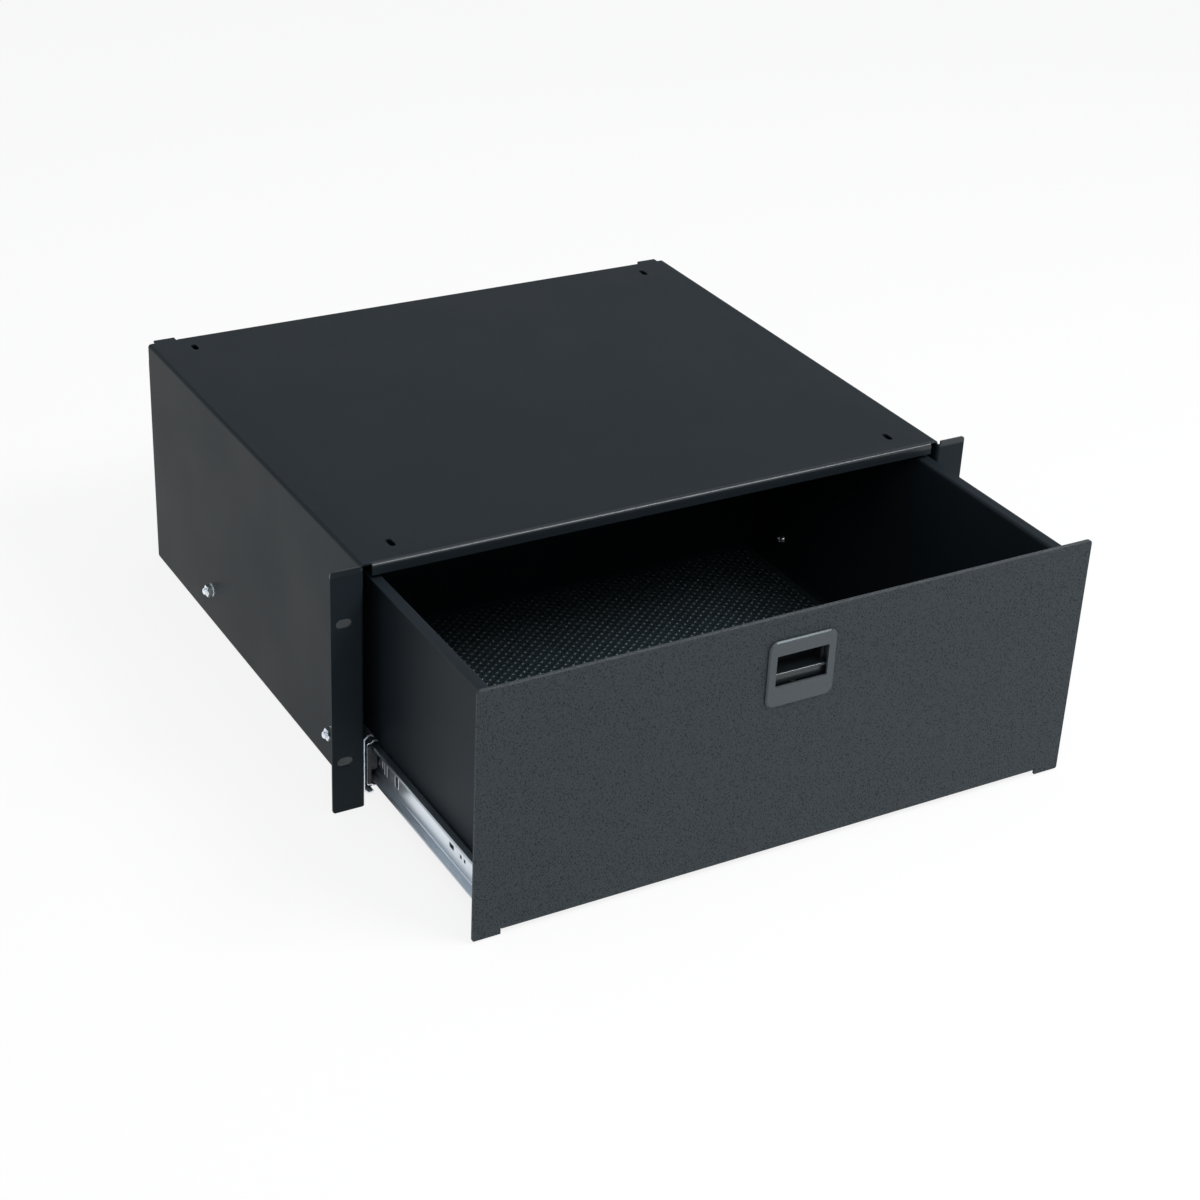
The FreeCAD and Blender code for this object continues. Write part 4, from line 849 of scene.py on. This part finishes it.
def studio_world(settings):
    """White horizon under a greyer dome, as seen or reflected, and a plain soft light."""
    world = bpy.data.worlds.new("studio")
    world.use_nodes = True
    tree = Tree(world)
    toward = tree.node("ShaderNodeTexCoord", out="Generated")
    height = tree.node("ShaderNodeSeparateXYZ", inputs={"Vector": toward}, out="Z")
    view = tree.mix(tree.step(height, *HORIZON), (1.0, 1.0, 1.0), tuple(settings.dome_colour))
    light = tree.mix(seen(tree), tuple(settings.room_colour), view)
    tree.links.new(light.socket, world.node_tree.nodes["Background"].inputs["Color"])
    return world


def area_light(name, place, target, size, power):
    data = bpy.data.lights.new(name, "AREA")
    data.shape = "RECTANGLE"
    data.size, data.size_y = size
    data.energy = power
    light = bpy.data.objects.new(name, data)
    bpy.context.scene.collection.objects.link(light)
    light.location = place
    light.rotation_euler = (Vector(target) - Vector(place)).to_track_quat("-Z", "Y").to_euler()


def set_camera(scene, lens):
    camera = bpy.data.cameras.new("camera")
    camera.lens = lens
    camera.sensor_width = SENSOR
    camera.clip_start, camera.clip_end = 0.05, 100
    eye = bpy.data.objects.new("camera", camera)
    scene.collection.objects.link(eye)
    turn = Matrix((CAMERA_RIGHT, -CAMERA_DOWN, -CAMERA_AHEAD)).transposed()
    eye.matrix_world = Matrix.Translation(CAMERA_PLACE) @ turn.to_4x4()
    scene.camera = eye


# ---- operators ----
class RACK_OT_finishes(bpy.types.Operator):
    """Make every finish and put it on the frame's nodes"""
    bl_idname = "rack.finishes"
    bl_label = "Finishes"

    def execute(self, context):
        make_finishes(context.scene)
        for name, node in frame["nodes"].items():
            node.data.materials.clear()
            node.data.materials.append(FINISH[SLOT_OF[name]])
        return {"FINISHED"}


class RACK_OT_case(bpy.types.Operator):
    """Round the edges of the case's sheets"""
    bl_idname = "rack.case"
    bl_label = "Case"

    def execute(self, context):
        edges = context.scene.rack_edges
        eased(edges.shell, "case_shell")
        eased(edges.sheet, "case_bottom", "case_rear_panel")
        return {"FINISHED"}


class RACK_OT_drawer(bpy.types.Operator):
    """Round the edges of the drawer's tray, back and front panel"""
    bl_idname = "rack.drawer"
    bl_label = "Drawer"

    def execute(self, context):
        edges = context.scene.rack_edges
        eased(edges.sheet, "drawer_tray", "drawer_back")
        eased(edges.panel, "front_panel")
        return {"FINISHED"}


class RACK_OT_members(bpy.types.Operator):
    """Round the edges of the slides' rolled members"""
    bl_idname = "rack.members"
    bl_label = "Slide members"

    def execute(self, context):
        kinds = ("outer", "middle", "drawer")
        eased(context.scene.rack_edges.member, *(f"{side}_{kind}_member" for kind in kinds for side in SIDES))
        return {"FINISHED"}


class RACK_OT_stops(bpy.types.Operator):
    """Round the edges of the slides' stop blocks"""
    bl_idname = "rack.stops"
    bl_label = "Stop blocks"

    def execute(self, context):
        eased(context.scene.rack_edges.stop, *(f"{side}_middle_stop" for side in SIDES))
        return {"FINISHED"}


class RACK_OT_latch(bpy.types.Operator):
    """Round the edges of the latch's mouldings"""
    bl_idname = "rack.latch"
    bl_label = "Latch"

    def execute(self, context):
        edges = context.scene.rack_edges
        eased(edges.latch, "latch_housing", "latch_slider")
        eased(edges.latch_cover, "latch_cover")
        return {"FINISHED"}


class RACK_OT_rubber(bpy.types.Operator):
    """Round the edges of the mat and the rear buffers"""
    bl_idname = "rack.rubber"
    bl_label = "Mat and buffers"

    def execute(self, context):
        edges = context.scene.rack_edges
        eased(edges.mat, "floor_mat")
        eased(edges.buffer, "rear_buffers")
        return {"FINISHED"}


class RACK_OT_fixings(bpy.types.Operator):
    """Round the edges of the rivets and of the front panel's studs and nuts"""
    bl_idname = "rack.fixings"
    bl_label = "Rivets, studs and nuts"

    def execute(self, context):
        eased(context.scene.rack_edges.fixing, "rear_rivets", "panel_studs", "panel_nuts")
        return {"FINISHED"}


class RACK_OT_cages(bpy.types.Operator):
    """Round the edges of the ball cages"""
    bl_idname = "rack.cages"
    bl_label = "Ball cages"

    def execute(self, context):
        cages = (f"{side}_{kind}_cage" for kind in ("outer", "inner") for side in SIDES)
        eased(context.scene.rack_edges.cage, *cages)
        return {"FINISHED"}


class RACK_OT_slide_fasteners(bpy.types.Operator):
    """Cut the slides' screws, nuts and toothed washers in full"""
    bl_idname = "rack.slide_fasteners"
    bl_label = "Slide screws, nuts and washers"

    def execute(self, context):
        settings = context.scene.rack_fasteners
        slide_screws(settings)
        slide_nuts(settings)
        toothed_washers(settings)
        return {"FINISHED"}


class RACK_OT_tray_screws(bpy.types.Operator):
    """Cut the tray's cross-recessed screws in full"""
    bl_idname = "rack.tray_screws"
    bl_label = "Tray screws"

    def execute(self, context):
        tray_screws(context.scene.rack_fasteners)
        return {"FINISHED"}


class RACK_OT_window_rims(bpy.types.Operator):
    """Raise a rim round each window of the drawer members"""
    bl_idname = "rack.window_rims"
    bl_label = "Window rims"

    def execute(self, context):
        window_rims(context.scene.rack_rims)
        return {"FINISHED"}


class RACK_OT_balls(bpy.types.Operator):
    """Round the slides' balls"""
    bl_idname = "rack.balls"
    bl_label = "Balls"

    def execute(self, context):
        for kind in ("outer", "inner"):
            for side in SIDES:
                rounded_off(f"{side}_{kind}_balls")
        return {"FINISHED"}


class RACK_OT_latch_spring(bpy.types.Operator):
    """Round the latch's spring; how far it would shorten as the bolt is drawn down on it is worked out, but
    the spring is not made to shorten
    """
    bl_idname = "rack.latch_spring"
    bl_label = "Latch spring"

    def execute(self, context):
        low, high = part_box("latch_spring")
        joints = RECORD["behaviour"]["joints"]
        travel = next(j["range_m"][1] for j in joints if j["name"] == "latch_slide")
        keep = 1 - travel / (high.z - low.z)
        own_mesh(rounded_off("latch_spring"))
        return {"FINISHED"}


class RACK_OT_mat_pads(bpy.types.Operator):
    """Cover the mat with its raised pads"""
    bl_idname = "rack.mat_pads"
    bl_label = "Mat pads"

    def execute(self, context):
        mat_pads(context.scene.rack_mat)
        return {"FINISHED"}


class RACK_OT_stage(bpy.types.Operator):
    """Set the pale floor, the soft lights and the camera"""
    bl_idname = "rack.stage"
    bl_label = "Stage"

    def execute(self, context):
        scene = context.scene
        settings = scene.rack_stage
        lay_floor(settings.floor_half)
        scene.world = studio_world(settings)
        area_light("front_strip", (1.1, -1.3, 1.9), (0, -0.05, 0), (1.5, 0.5), settings.strip_power)
        area_light("key", (-1.3, -2.0, 2.4), (0, 0, 0), (1.6, 1.6), settings.key_power)
        area_light("top", (0.0, -0.3, 3.2), (0, 0, 0), (2.6, 2.6), settings.top_power)
        set_camera(scene, settings.lens)
        scene.view_settings.view_transform = "Standard"
        return {"FINISHED"}


STEPS = (
    "finishes", "case", "drawer", "members", "stops", "latch", "rubber", "fixings", "cages",
    "slide_fasteners", "tray_screws", "window_rims", "balls", "latch_spring", "mat_pads", "stage",
)


class RACK_PT_sidebar(bpy.types.Panel):
    """Lists the operators in the order in which they dress the drawer"""
    bl_idname = "RACK_PT_sidebar"
    bl_label = "Rack Drawer"
    bl_space_type = "VIEW_3D"
    bl_region_type = "UI"
    bl_category = "Rack Drawer"

    def draw(self, context):
        for step in STEPS:
            self.layout.operator("rack." + step)


GROUPS = {
    "rack_coat": CoatSettings,
    "rack_metal": MetalSettings,
    "rack_moulding": MouldingSettings,
    "rack_edges": EdgeSettings,
    "rack_mat": MatSettings,
    "rack_fasteners": FastenerSettings,
    "rack_rims": RimSettings,
    "rack_stage": StageSettings,
}
CLASSES = (
    *GROUPS.values(),
    RACK_OT_finishes,
    RACK_OT_case,
    RACK_OT_drawer,
    RACK_OT_members,
    RACK_OT_stops,
    RACK_OT_latch,
    RACK_OT_rubber,
    RACK_OT_fixings,
    RACK_OT_cages,
    RACK_OT_slide_fasteners,
    RACK_OT_tray_screws,
    RACK_OT_window_rims,
    RACK_OT_balls,
    RACK_OT_latch_spring,
    RACK_OT_mat_pads,
    RACK_OT_stage,
    RACK_PT_sidebar,
)


def register():
    for cls in CLASSES:
        bpy.utils.register_class(cls)
    for name, group in GROUPS.items():
        setattr(bpy.types.Scene, name, PointerProperty(type=group))


def unregister():
    for name in GROUPS:
        delattr(bpy.types.Scene, name)
    for cls in reversed(CLASSES):
        bpy.utils.unregister_class(cls)


def main():
    register()
    for step in STEPS:
        getattr(bpy.ops.rack, step)()


if __name__ == "__main__":
    main()
